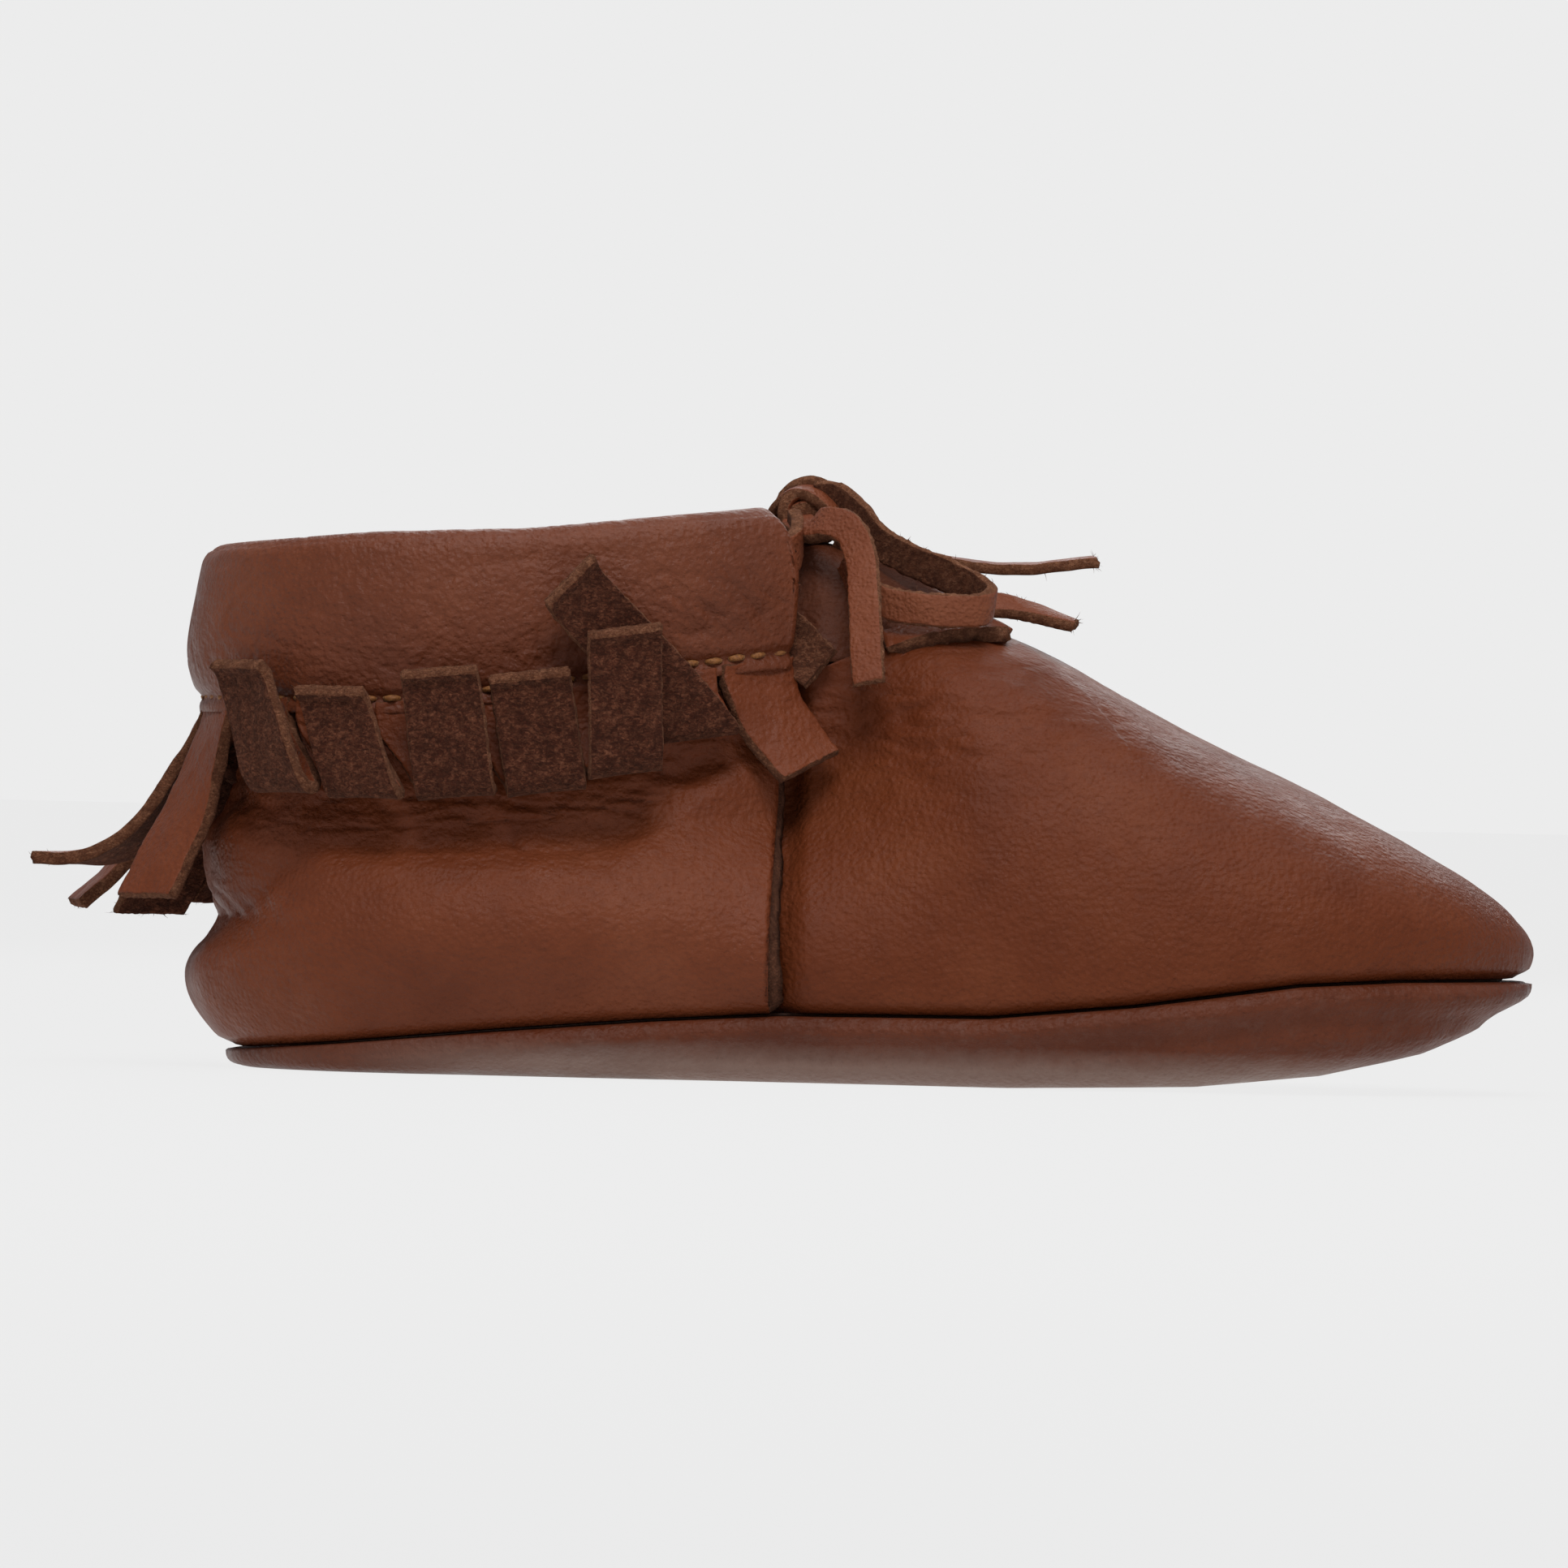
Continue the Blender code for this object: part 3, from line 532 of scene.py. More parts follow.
def make_looks():
    return {
        "grain": grain_leather("grain_leather", UPPER_TONES, specular=0.15),
        "vamp": grain_leather("vamp_leather", VAMP_TONES, 0.44, specular=0.12),
        "cuff": grain_leather("cuff_leather", CUFF_TONES),
        # The sole's underside colour is painted light from the floor, not wear.
        "sole": grain_leather("sole_leather", SOLE_TONES, 0.42, underside=SOLE_FLOOR_BOUNCE_LIGHT, specular=0.16),
        "lace": grain_leather("lace_leather", LACE_TONES, 0.5, 0.35),
        # Darker grain for the tongue: painted shade for the shadow inside the opening.
        "tongue": grain_leather("shade_darkened_tongue_leather", TONGUE_SHADE_TONES, 0.5, specular=0.12),
        "flesh": suede("flesh_side", FLESH_TONES),
        "edge": suede("raw_edge", EDGE_TONES, 0.22),
        "nap": suede("lace_flesh_side", LACE_NAP_TONES, 0.3),
        "lace_edge": suede("lace_edge", LACE_EDGE_TONES, 0.2),
        "seam_edge": suede("seam_edge", SEAM_EDGE_TONES, 0.2),
        "thread": thread_look("ochre_thread", (0.265, 0.104, 0.027), (0.14, 0.046, 0.012)),
        "seam_thread": thread_look("brown_thread", (0.060, 0.022, 0.012), (0.03, 0.01, 0.006)),
        "lining": plain_look("sock_lining", (0.30, 0.20, 0.13), (0.22, 0.14, 0.085), 0.85, 0.5),
        "foam": plain_look("insole_foam", (0.72, 0.69, 0.62), (0.6, 0.56, 0.48), 0.95, 0.3),
    }


# ---- upper

def rib_ends(count, tuck):
    """Each rib's foot on the sole seam and its top along the cuff, the throat and the spine, heel to toe."""
    seam = smooth(SEAM_PLAN, count)
    front = next(i for i, p in enumerate(seam) if p[0] > QUARTER_FRONT_X + 1)
    cuff = smooth(CUFF_PLAN, front + 1)
    tops = np.column_stack([cuff[:, 0], -cuff[:, 1], height(STITCH_HEIGHT, cuff[:, 0]) + tuck])
    x, y, z = tops[-1]
    over, up = THROAT[0] - x, THROAT[1] - z
    bends = [(x, y, z), (x + over * 0.4, y * 0.78, z + up * 0.6), (x + over * 0.8, y * 0.42, z + up * 0.95)]
    round_throat = int(count * 0.24)
    throat = smooth(bends + [(THROAT[0], 0, THROAT[1])], round_throat + 1)
    spine = smooth([(x, 0, z) for x, z in SPINE], count - front - round_throat)
    tops = np.vstack([tops, throat[1:], spine[1:]])
    feet = np.column_stack([seam[:, 0], -seam[:, 1], height(SEAM_HEIGHT, seam[:, 0]) + 0.1])
    return feet, tops, front + round_throat


def wall_rib(foot, top, normal, steps):
    """A rib of the near-upright rear: a belly above the seam, then a waist, then in under the cuff."""
    z = foot[2] + (top[2] - foot[2]) * steps
    rise = z - foot[2]
    lean = ease(rise, 0, 22)[:, None]
    plan = foot[:2] + (top[:2] - foot[:2]) * lean
    at_heel = ease(-foot[0], 50, 60)
    belly_rise = BELLY_RISE_SIDE + (BELLY_RISE_HEEL - BELLY_RISE_SIDE) * at_heel
    out = BELLY * np.sin(np.pi * np.minimum(rise / (2 * belly_rise), 1))
    out -= WAIST_DEPTH * hump(rise, WAIST_RISE, 2.2) * at_heel
    out -= QUARTER_INSET * ease(z, top[2] - 16, top[2] - 10)
    return np.column_stack([plan + normal * out[:, None], z])


def cap_rib(foot, top, normal, slope, steps):
    """A rib of the domed front, which meets the middle line at the spine's `slope`."""
    across = foot - top
    span = max(np.linalg.norm(across[:2]), 0.01)
    lead = across[:2] / span
    shoulder = top + np.array([lead[0], lead[1], slope * lead[0]]) * 0.62 * np.linalg.norm(across[:2])
    hip = foot + np.array([normal[0] * 3.2, normal[1] * 3.2, 0.42 * (top[2] - foot[2])])
    t, s = steps[:, None], 1 - steps[:, None]
    return foot * s**3 + 3 * hip * s * s * t + 3 * shoulder * s * t * t + top * t**3


def upper_grid(count, steps, tuck):
    """The near half of the upper as a grid, [heel to toe][seam to top], with its plan normals."""
    feet, tops, spine_from = rib_ends(count, tuck)
    normals = plan_normals(feet[:, :2])
    normals[0], normals[-1] = (-1, 0), (1, 0)
    grid = []
    for i in range(count):
        ahead, behind = tops[min(i + 3, count - 1)], tops[max(i - 3, 0)]
        slope = (ahead[2] - behind[2]) / max(ahead[0] - behind[0], 0.5) if i > spine_from + 3 else -0.35
        wall = wall_rib(feet[i], tops[i], normals[i], steps)
        cap = cap_rib(feet[i], tops[i], normals[i], slope, steps)
        share = ease(feet[i][0], QUARTER_FRONT_X, 14)
        grid.append(wall * (1 - share) + cap * share)
    return np.array(grid), feet, normals


def seam_steps(count):
    """Steps up a rib, close together at the seam where the leather turns in."""
    return np.concatenate([[0, 0.004, 0.009, 0.016, 0.025, 0.036], np.linspace(0.05, 1, count)])


def turn_in(grid, normals, feet):
    """Rolls the foot of each rib into the sole seam."""
    rise = grid[:, :, 2] - feet[:, None, 2]
    pull = 1.15 * (1 - ease(rise, 0.0, 1.1))
    pull[:, 0] += 0.5
    grid[:, :, :2] -= normals[:, None, :] * pull[..., None]
    return grid


def wrinkle(grid, depth):
    """Moves each point of a near-side grid outwards by its depth."""
    normal = grid_normals(grid)
    middle = len(normal) // 2
    if normal[middle, normal.shape[1] // 3, 1] > 0:
        normal = -normal
    return grid + normal * depth[..., None]


def quarter_wrinkles(grid, seed):
    x, z = grid[..., 0], grid[..., 2]
    arc = RECESS_LOW + 11.0 * ease(x, -30, -9) ** 1.5 + 2.0 * ease(-x, 48, 62)
    recess = ease(z, arc - 2.2, arc + 2.6)
    under_fringe = hump(z, arc + 3.6, 4.2) * ease(x, -68, -60)
    depth = -RECESS * recess * (1 - ease(z, 30.0, 34.5))
    depth -= 0.42 * under_fringe * creases(grid, (7.5, 7.5, 1.7), seed, 0.13)
    depth -= 0.32 * under_fringe * creases(grid, (3.6, 3.6, 1.0), seed + 3, 0.18)
    waist = hump(z, 15.5, 3.0) * ease(-x, 50, 62)
    depth -= 0.35 * waist * creases(grid, (6.0, 6.0, 2.4), seed + 9, 0.2)
    depth += 0.35 * field(grid, (20, 20, 12), seed + 5)
    depth += 0.10 * field(grid, (4.5, 4.5, 3.0), seed + 8)
    roll = hump(z, 15.0, 5.0) * ease(x, -60, -40) * ease(-x, 9, 24)
    return depth + 0.6 * roll


def vamp_wrinkles(grid, seed):
    x, z = grid[..., 0], grid[..., 2]
    throat = hump(x, 6.0, 13.0) * hump(z, 34.5, 5.2)
    depth = -0.46 * throat * creases(grid, (8.0, 5.0, 1.4), seed, 0.18)
    depth -= 0.30 * throat * creases(grid, (4.5, 3.0, 1.0), seed + 2, 0.24)
    side = hump(x, -2.0, 9.0) * hump(z, 24.0, 9.0)
    depth -= 0.07 * side * creases(grid, (5.0, 5.0, 3.6), seed + 6, 0.2)
    depth += 0.4 * field(grid, (24, 20, 18), seed + 4)
    depth += 0.09 * field(grid, (5, 5, 4), seed + 11)
    return depth


def sheet_from_halves(name, near, far, looks, thickness):
    """One sheet from the near and far grids, joined where their last points meet on the middle line."""
    rows, columns = near.shape[:2]
    points = np.vstack([near.reshape(-1, 3), far.reshape(-1, 3)])
    faces = grid_faces(rows, columns, flip=True)
    faces += [tuple(i + rows * columns for i in face[::-1]) for face in faces]
    piece = new_piece(name, points, faces, looks)
    join_on_middle(piece.data)
    return thicken(piece, thickness)


def join_on_middle(mesh):
    made = bmesh.new()
    made.from_mesh(mesh)
    middle = [v for v in made.verts if abs(v.co.y) < 0.02 * MM]
    bmesh.ops.remove_doubles(made, verts=middle, dist=0.3 * MM)
    made.to_mesh(mesh)
    made.free()
    mesh.shade_smooth()


def mirrored(grid):
    return grid * np.array([1, -1, 1])


def make_quarter(looks):
    grid, feet, normals = upper_grid(260, seam_steps(88), 3.0)
    rows = feet[:, 0] <= QUARTER_FRONT_X + 0.4
    grid, feet, normals = grid[rows], feet[rows], normals[rows]
    halves = []
    for side in (1, -1):
        half = turn_in(grid.copy(), normals, feet)
        depth = quarter_wrinkles(half * np.array([1, side, 1]), 3.0)
        depth += 0.35 * ease(half[..., 0], QUARTER_FRONT_X - 5, QUARTER_FRONT_X)
        depth *= ease(half[..., 2] - feet[:, None, 2], 0.0, 2.5)
        halves.append(wrinkle(half, depth))
    middle = (halves[0][:1] + halves[1][:1]) / 2 * np.array([1, 0, 1])
    whole = np.concatenate([halves[0][:0:-1], middle, mirrored(halves[1][1:])])
    inward = grid_normals(whole)
    if inward[10, 40, 1] < 0:
        inward = -inward
    block = np.stack([whole + inward * LEATHER * share for share in (1.0, 0.5, 0.0)], axis=2)
    for end in (0, -1):
        ragged = field(block[end], 0.8, 20.0 + end) * 0.16 + field(block[end], 5.0, 30.0 + end) * 0.35
        block[end, :, :, 0] += ragged + np.array([0.65, 0.10, -0.70])
    piece = slab("heel_quarter_leather", block, leather(looks, "grain", "seam_edge"), 0.0, 5)
    finish_piece(piece, "shoe", ["heel_quarter"])


def make_vamp(looks):
    grid, feet, normals = upper_grid(300, seam_steps(92), -2.6)
    rows = feet[:, 0] >= VAMP_REAR_X
    grid, feet, normals = grid[rows], feet[rows], normals[rows]
    under = VAMP_UNDER * (1 - ease(feet[:, 0], QUARTER_FRONT_X - 1.0, QUARTER_FRONT_X + 4))
    halves = []
    for side in (1, -1):
        half = turn_in(grid.copy(), normals, feet)
        half[:, :, :2] -= normals[:, None, :] * under[:, None, None]
        depth = vamp_wrinkles(half * np.array([1, side, 1]), 13.0)
        depth *= ease(half[..., 2] - feet[:, None, 2], 0.0, 2.5)
        half = wrinkle(half, depth)
        half[:, -1, 1] *= half[:, -1, 0] < THROAT[0] - 0.5  # the spine stays on the middle line
        halves.append(half)
    piece = sheet_from_halves("vamp_leather", halves[0], mirrored(halves[1]),
                              leather(looks, "vamp", "seam_edge"), LEATHER)
    finish_piece(piece, "shoe", ["vamp"])


def finish_piece(piece, body, nodes, blend=None):
    """Ties a piece to its body and hides the CAD nodes that it replaces; with `blend` it only bakes the
    piece's place instead of tying it to the body.
    """
    if blend:
        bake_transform(piece)
    else:
        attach(piece, body)
    if nodes:
        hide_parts(*nodes)
    return piece


# ---- sole and insole

def sole_profile(curl_steps):
    """(share of the outline, share of the rise) from the sole's middle to its seam."""
    shares = [(s, 0.0) for s in np.linspace(0.1, SOLE_FLAT, 14)]
    for turn in np.linspace(0, math.pi / 2, curl_steps)[1:]:
        shares.append((SOLE_FLAT + (1 - SOLE_FLAT) * math.sin(turn), 1 - math.cos(turn)))
    return shares


def sole_rings(seam, normals, seam_z):
    """The sole's surface before it swells, as rings from its middle to its seam and on to the hidden rim."""
    rings = []
    for share, rise in sole_profile(18):
        plan = seam * share
        low = height(TOE_SPRING, plan[:, 0])
        blunt = 1 + 1.6 * ease(plan[:, 0], 38, 58) + 2.5 * ease(-plan[:, 0], 34, 52)
        climb = rise**blunt if rise else 0.0
        rings.append(np.column_stack([plan, low + (seam_z - 0.35 - low) * climb]))
    for inset, drop in ((0.06, 0.16), (0.25, 0.04), (0.6, 0.0), (1.1, 0.1), (1.6, 0.3)):
        rings.append(np.column_stack([seam - normals * inset, seam_z - 0.1 - drop]))
    return np.array(rings)


def sole_swell(rings, seam, seam_z):
    """How far each point of the sole stands out from its ring."""
    wall = ease(rings[..., 2], 0.5, 3.0)
    below = seam_z[None, :] - rings[..., 2]
    swell = 0.35 * field(rings, (14, 14, 6), 77) * wall
    swell += 0.80 * hump(below, 1.6, 1.1)
    swell -= 0.45 * hump(below, 3.8, 1.0) * ease(seam_z, 4.0, 6.0)[None, :]
    swell -= 0.15 * creases(rings, (5, 5, 2), 91, 0.15) * wall
    rise = (rings[..., 2] - height(TOE_SPRING, rings[..., 0])) / np.maximum(seam_z, 1.0)[None, :]
    rise = np.clip(rise * 1.4, 0, 1)
    swell += 0.9 * np.sin(np.pi * rise) * ease(seam[:, 0], 34, 60)[None, :]
    swell[-5:] = swell[-5:] * 0.3
    return swell * ease(seam_z, 3.0, 5.2)[None, :]


def make_sole(looks):
    seam = outline(SEAM_PLAN, 190)
    normals = plan_normals(seam, True)
    seam_z = height(SEAM_HEIGHT, seam[:, 0])
    rings = sole_rings(seam, normals, seam_z)
    rings[..., :2] += normals[None] * sole_swell(rings, seam, seam_z)[..., None]
    faces = grid_faces(len(rings), len(seam), closed=True)
    faces.append(tuple(range(len(seam)))[::-1])
    piece = new_piece("outsole_leather", rings, faces, leather(looks, "sole", "seam_edge"))
    finish_piece(thicken(piece, SOLE_LEATHER), "shoe", ["outsole"])


def cushion(name, share, low, thick, looks):
    """A rounded layer inside the shoe, shaped like the sole, whose underside lies `low` above the floor."""
    rim = outline([(x * share, y * share) for x, y in SEAM_PLAN], 80)
    rings = []
    profile = [(0.15, 1), (0.5, 0.99), (0.8, 0.96), (0.93, 0.88), (1, 0.5), (0.97, 0.1), (0.8, 0), (0.15, 0)]
    for inset, up in profile:
        plan = rim * inset
        rings.append(np.column_stack([plan, height(TOE_SPRING, plan[:, 0]) + low + thick * up]))
    rings = np.array(rings)
    count = len(rim)
    faces = grid_faces(len(rings), count, closed=True, flip=True)
    last = (len(rings) - 1) * count
    faces += [tuple(range(count)), tuple(last + i for i in range(count))[::-1]]
    return new_piece(name, rings, faces, looks)


def make_insole(looks):
    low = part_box("insole_pad")[0][2] / MM
    pad = cushion("insole_pad_foam", PAD_SHARE, low, PAD_THICK, [looks["foam"]])
    finish_piece(pad, "shoe", ["insole_pad"])
    seat = low + PAD_THICK - 0.2
    liner = cushion("sock_liner_suede", LINER_SHARE, seat, LINER_THICK, [looks["lining"]])
    finish_piece(liner, "shoe", ["sock_liner"])


# ---- cuff

def cuff_profile(low, stitch, top):
    """The casing's outline at one place on the path, as (inset, height)."""
    fold = CUFF_DEPTH / 2
    profile = [(0.0, z) for z in np.linspace(low, stitch, 6)[:-1]]
    profile += [(0.0, z) for z in np.linspace(stitch, top - fold, 38)]
    for turn in np.linspace(0, math.pi, 22)[1:-1]:
        profile.append((fold - fold * math.cos(turn), top - fold + fold * math.sin(turn)))
    profile += [(CUFF_DEPTH, z) for z in np.linspace(top - fold, low, 14)]
    return np.array(profile)


def curled_path(count):
    """The cuff's path with its two front ends turned inwards."""
    path, outward = cuff_path(count)
    reach = EDGE_CURL * math.pi / 2
    for order in (1, -1):
        line, normal = path[::order], outward[::order]
        run = run_along(line)
        start = int(np.searchsorted(run, reach))
        corner, out = line[start].copy(), normal[start].copy()
        ahead = unit(line[0] - line[start])
        for i in range(start):
            turn = (reach - run[i]) / EDGE_CURL
            line[i] = corner + EDGE_CURL * (ahead * math.sin(turn) - out * (1 - math.cos(turn)))
    return path, outward


def cuff_grid(path, outward):
    """The casing's surface before its wrinkles, one row of points for each place on the path."""
    rows = []
    for i, ((x, y), (nx, ny)) in enumerate(zip(path, outward)):
        stitch = float(height(STITCH_HEIGHT, x))
        top = float(height(CUFF_TOP, x)) + 0.4 - 0.5 * max(0.0, (x + 10.0) / 3.0) ** 2
        top -= 1.8 * max(0.0, 1 - min(i, len(path) - 1 - i) / 6) ** 2
        profile = cuff_profile(stitch - CUFF_HEM, stitch, top)
        outer = profile[:, 0] < 0.5
        rise = profile[:, 1] - stitch
        puff = 0.9 * np.sin(np.pi * np.clip(rise / (top - stitch), 0, 1)) ** 0.8 * outer
        puff += 0.9 * ease(-x, 46, 62) * hump(rise, 3.5, 5.0) * outer
        pinch = 0.45 * hump(rise, 0.0, 0.55) * outer
        inset = profile[:, 0] - puff + pinch
        rows.append(np.column_stack([x - nx * inset, y - ny * inset, profile[:, 1]]))
    grid = np.array(rows)
    corner = ease(grid[..., 0], -14.0, -7.0) * np.maximum(grid[..., 2] - 48.5, 0) ** 2 / 38
    grid[..., 0] += 0.9 * ease(grid[..., 0], -14.0, -8.0) - 1.9 * corner
    return grid


def cuff_wrinkles(grid):
    """How far each point of the casing moves along its normal."""
    x, z = grid[..., 0], grid[..., 2]
    stitch = height(STITCH_HEIGHT, x)
    above = ease(z - stitch, 0.6, 3.0) * (1 - 0.7 * ease(z, 49.0, 52.0))
    ends = np.minimum(np.arange(len(grid)), np.arange(len(grid))[::-1])
    above = above * ease(ends, 6, 14)[:, None]
    depth = 0.42 * field(grid, (16, 16, 11), 5.0)
    crackle = hump(x, -47.0, 7.0) * hump(z, 42.5, 4.5)
    depth -= 0.15 * crackle * creases(grid, (2.4, 2.4, 1.5), 71.0, 0.2)
    depth -= 0.14 * hump(x, -30.0, 9.0) * creases(grid, (1.6, 1.6, 7.0), 81.0, 0.16)
    folds = hump(x, -13.0, 8.5) * hump(z, 46.5, 4.5)
    tilted = grid @ np.array([[0.8, 0, 0.6], [0, 1, 0], [-0.6, 0, 0.8]])
    depth -= 0.34 * folds * creases(tilted, (5.5, 5.5, 1.6), 21.0, 0.16)
    low_folds = hump(z - stitch, 2.8, 2.4) * (0.35 + 0.65 * ease(x, -45, -20))
    depth -= 0.22 * low_folds * creases(grid, (2.6, 2.6, 5.0), 33.0, 0.16)
    depth -= 0.14 * creases(grid, (7.0, 7.0, 4.0), 61.0, 0.07)
    return depth * above


def make_cuff(looks):
    path, outward = curled_path(230)
    grid = cuff_grid(path, outward)
    normal = grid_normals(grid)
    if np.sum(normal[:, 20, :2] * outward) < 0:
        normal = -normal
    grid = grid + normal * cuff_wrinkles(grid)[..., None]
    faces = grid_faces(grid.shape[0], grid.shape[1])
    piece = new_piece("cuff_leather", grid, faces, leather(looks, "cuff", "cuff"))
    finish_piece(thicken(piece, CUFF_LEATHER), "shoe", ["cuff_casing"])


def bead(start, end, out, radius, sides=8, rings=9):
    """One stitch: a short thread that rises out of the leather and goes back in."""
    start, end, out = (np.array(v, float) for v in (start, end, out))
    run = end - start
    along = run / np.linalg.norm(run)
    third = np.cross(along, out)
    points = []
    for t in np.linspace(0, 1, rings):
        centre = start + run * t + out * (0.34 * math.sin(math.pi * t) - 0.12)
        size = radius * (0.55 + 0.45 * math.sin(math.pi * t) ** 0.5)
        for k in range(sides):
            turn = 2 * math.pi * k / sides
            twist = 1 + 0.10 * math.sin(3 * turn + 7 * t)
            points.append(centre + (out * math.cos(turn) + third * math.sin(turn)) * size * twist)
    return points


def make_stitches(looks):
    path, outward = cuff_path(600)
    run = run_along(path)
    random.seed(11)
    points, faces = [], []
    places = np.arange(1.0, run[-1] - 2.2, STITCH_PITCH)
    for place in places:
        ends = []
        for at in (place, place + STITCH_PITCH * 0.72):
            x, y = (float(np.interp(at, run, path[:, k])) for k in (0, 1))
            out = np.array([float(np.interp(at, run, outward[:, k])) for k in (0, 1)] + [0.0])
            z = float(height(STITCH_HEIGHT, x)) + random.uniform(-0.09, 0.09)
            ends.append(np.array([x, y, z]) - out * 0.22)
        base = len(points)
        ring = bead(ends[0], ends[1], out, STITCH_THREAD / 2)
        points += ring
        faces += [tuple(base + i for i in face) for face in grid_faces(len(ring) // 8, 8, closed=True)]
        last = base + len(ring) - 8
        faces += [tuple(base + k for k in range(8))[::-1], tuple(last + k for k in range(8))]
    piece = new_piece("cuff_stitches", points, faces, [looks["thread"]])
    finish_piece(piece, "shoe", ["cuff_stitching"])


# ---- fringe

def strip_frame(index):
    """A strip's hinge on the hem, its outward and lengthwise directions and the strips' pitch."""
    path, outward = cuff_path(80)
    run = run_along(path)
    pitch = run[-1] / STRIPS
    here = (index + 0.5) * pitch
    x, y = (np.interp(here, run, path[:, k]) for k in (0, 1))
    nx, ny = (np.interp(here, run, outward[:, k]) for k in (0, 1))
    size = math.hypot(nx, ny)
    out = np.array([nx / size, ny / size, 0])
    ends = [height(STITCH_HEIGHT, np.interp(here + side * pitch / 2, run, path[:, 0])) for side in (-1, 1)]
    along = np.array([-out[1], out[0], (ends[0] - ends[1]) / pitch])
    hinge = np.array([x, y, min(ends) - CUFF_HEM - 0.35])
    return hinge, out, along / np.linalg.norm(along), pitch


def folded_line(index):
    """Down from the cuff, out and round, up again, and out at the very end so the cut end shows."""
    (ahead, drop), (end_ahead, end_up), out = FOLDED[index]
    line = [(0, -0.7, 1.9), (0, -0.62, 0.4), (0.15 * ahead, -0.35, 0.25 * drop),
            (0.6 * ahead, 0.5, 0.62 * drop), (0.95 * ahead, 0.38 * out, drop + 0.35),
            (ahead, 0.62 * out, drop - 0.15), (ahead, 0.92 * out, drop + 0.35),
            (0.8 * ahead + 0.2 * end_ahead, out + 0.2, 0.78 * drop + 0.22 * end_up),
            (0.4 * ahead + 0.6 * end_ahead, out + 0.25, 0.4 * drop + 0.6 * end_up),
            (0.08 * ahead + 0.92 * end_ahead, out + 0.55, 0.1 * drop + 0.9 * end_up),
            (end_ahead, out + 1.5, end_up)]
    return smooth(line, 66)


def hanging_line(index):
    return smooth([(0, -0.7, 1.9), (0, -0.62, 0.4)] + HANGING[index][0], 60)


def strip_points(index):
    """The strip's hinge, its outward direction and the block of points of its leather."""
    hinge, out, along, pitch = strip_frame(index)
    folded = index in FOLDED
    line = folded_line(index) if folded else hanging_line(index)
    up = np.array([0, 0, 1.0])
    centres = hinge + line[:, :1] * along + line[:, 1:2] * out + line[:, 2:] * up
    t = np.linspace(0, 1, len(line))
    twist = math.radians(4 * math.sin(index * 2.3) if folded else HANGING[index][1]) * ease(t, 0.08, 0.9)
    lean = math.radians(LEAN.get(index, 0.0)) * ease(t, 0.3, 0.7)
    flat = along * np.cos(lean)[:, None] + up * np.sin(lean)[:, None]
    sides = flat * np.cos(twist)[:, None] + out * np.sin(twist)[:, None]
    widths = (pitch - STRIP_GAP) * (1 - 0.07 * t + 0.025 * np.sin(5 * t + index))
    widths *= 1 - 0.03 * (index % 3) - 0.10 * (index == 1) * ease(t, 0.3, 0.6)
    cup = (0.15 if folded else 0.3) * ease(t, 0.1, 0.6) * (1 - ease(t, 0.85, 1.0))
    block = strap_block(centres, sides, widths, STRIP_LEATHER, across=23, cup=cup, square=False)
    return hinge, out, block


def make_fringe(looks):
    for index in range(STRIPS):
        hinge, out, block = strip_points(index)
        ripple = 0.22 * field(block, (3.2, 3.2, 3.2), index * 3.1) + 0.08 * field(block, 1.1, index * 1.7)
        block = block + out * ripple[..., None]
        node = f"fringe_strip_{index + 1:02d}"
        piece = slab(node + "_leather", block, leather(looks, "grain"), 0.17, index * 5.7, 34)
        start = hinge + np.array([0, 0, 0.5])
        end = hinge - np.array([0, 0, 2.2])
        finish_piece(piece, node, [node], (tuple(start * MM), tuple(end * MM)))


# ---- lace and bow

def lace(name, centres, sides, looks, body, nodes, width=LACE_WIDTH, cup=0.0, seed=0.0, thick=LACE_THICK):
    block = strap_block(centres, sides, width, thick, across=13, cup=cup)
    block = shake(block, 2.2, 0.10, seed)
    piece = slab(name, block, [looks["lace"], looks["nap"], looks["lace_edge"]], 0.19, seed, 55)
    return finish_piece(piece, body, nodes)


def make_cuff_lace(looks):
    fold = CUFF_DEPTH / 2
    path, outward = cuff_path(60)
    route = np.column_stack([path - outward * fold, height(CUFF_TOP, path[:, 0]) - 4.6])
    route = route[2:-2]
    x, y, z = route[0]
    lead = [(x + 2.6, y + 9.6, z + 3.4), (x + 3.0, y + 6.2, z + 2.0), (x + 2.4, y + 2.8, z + 0.6)]
    tail = [(p[0], -p[1], p[2]) for p in lead[::-1]]
    whole = smooth(lead + [tuple(p) for p in route] + tail, 330)
    lace("cuff_lace_leather", whole, (0, 0, -1), looks, "shoe", ["cuff_lace"], seed=3.0)


def make_loops(looks):
    for name, side in (("bow_loop_near", -1), ("bow_loop_far", 1)):
        route = smooth([(x, y * side, z) for x, y, z in LOOP_LINE], 110)
        t = np.linspace(0, 1, len(route))
        sides = np.column_stack([0.1 + 0 * t, (0.35 - 0.45 * t) * side, 1.0 + 0 * t]) * side
        piece = lace(name + "_leather", route, sides, looks, name, [name], LOOP_WIDTH, 0.1, 9.0 + side, 1.1)


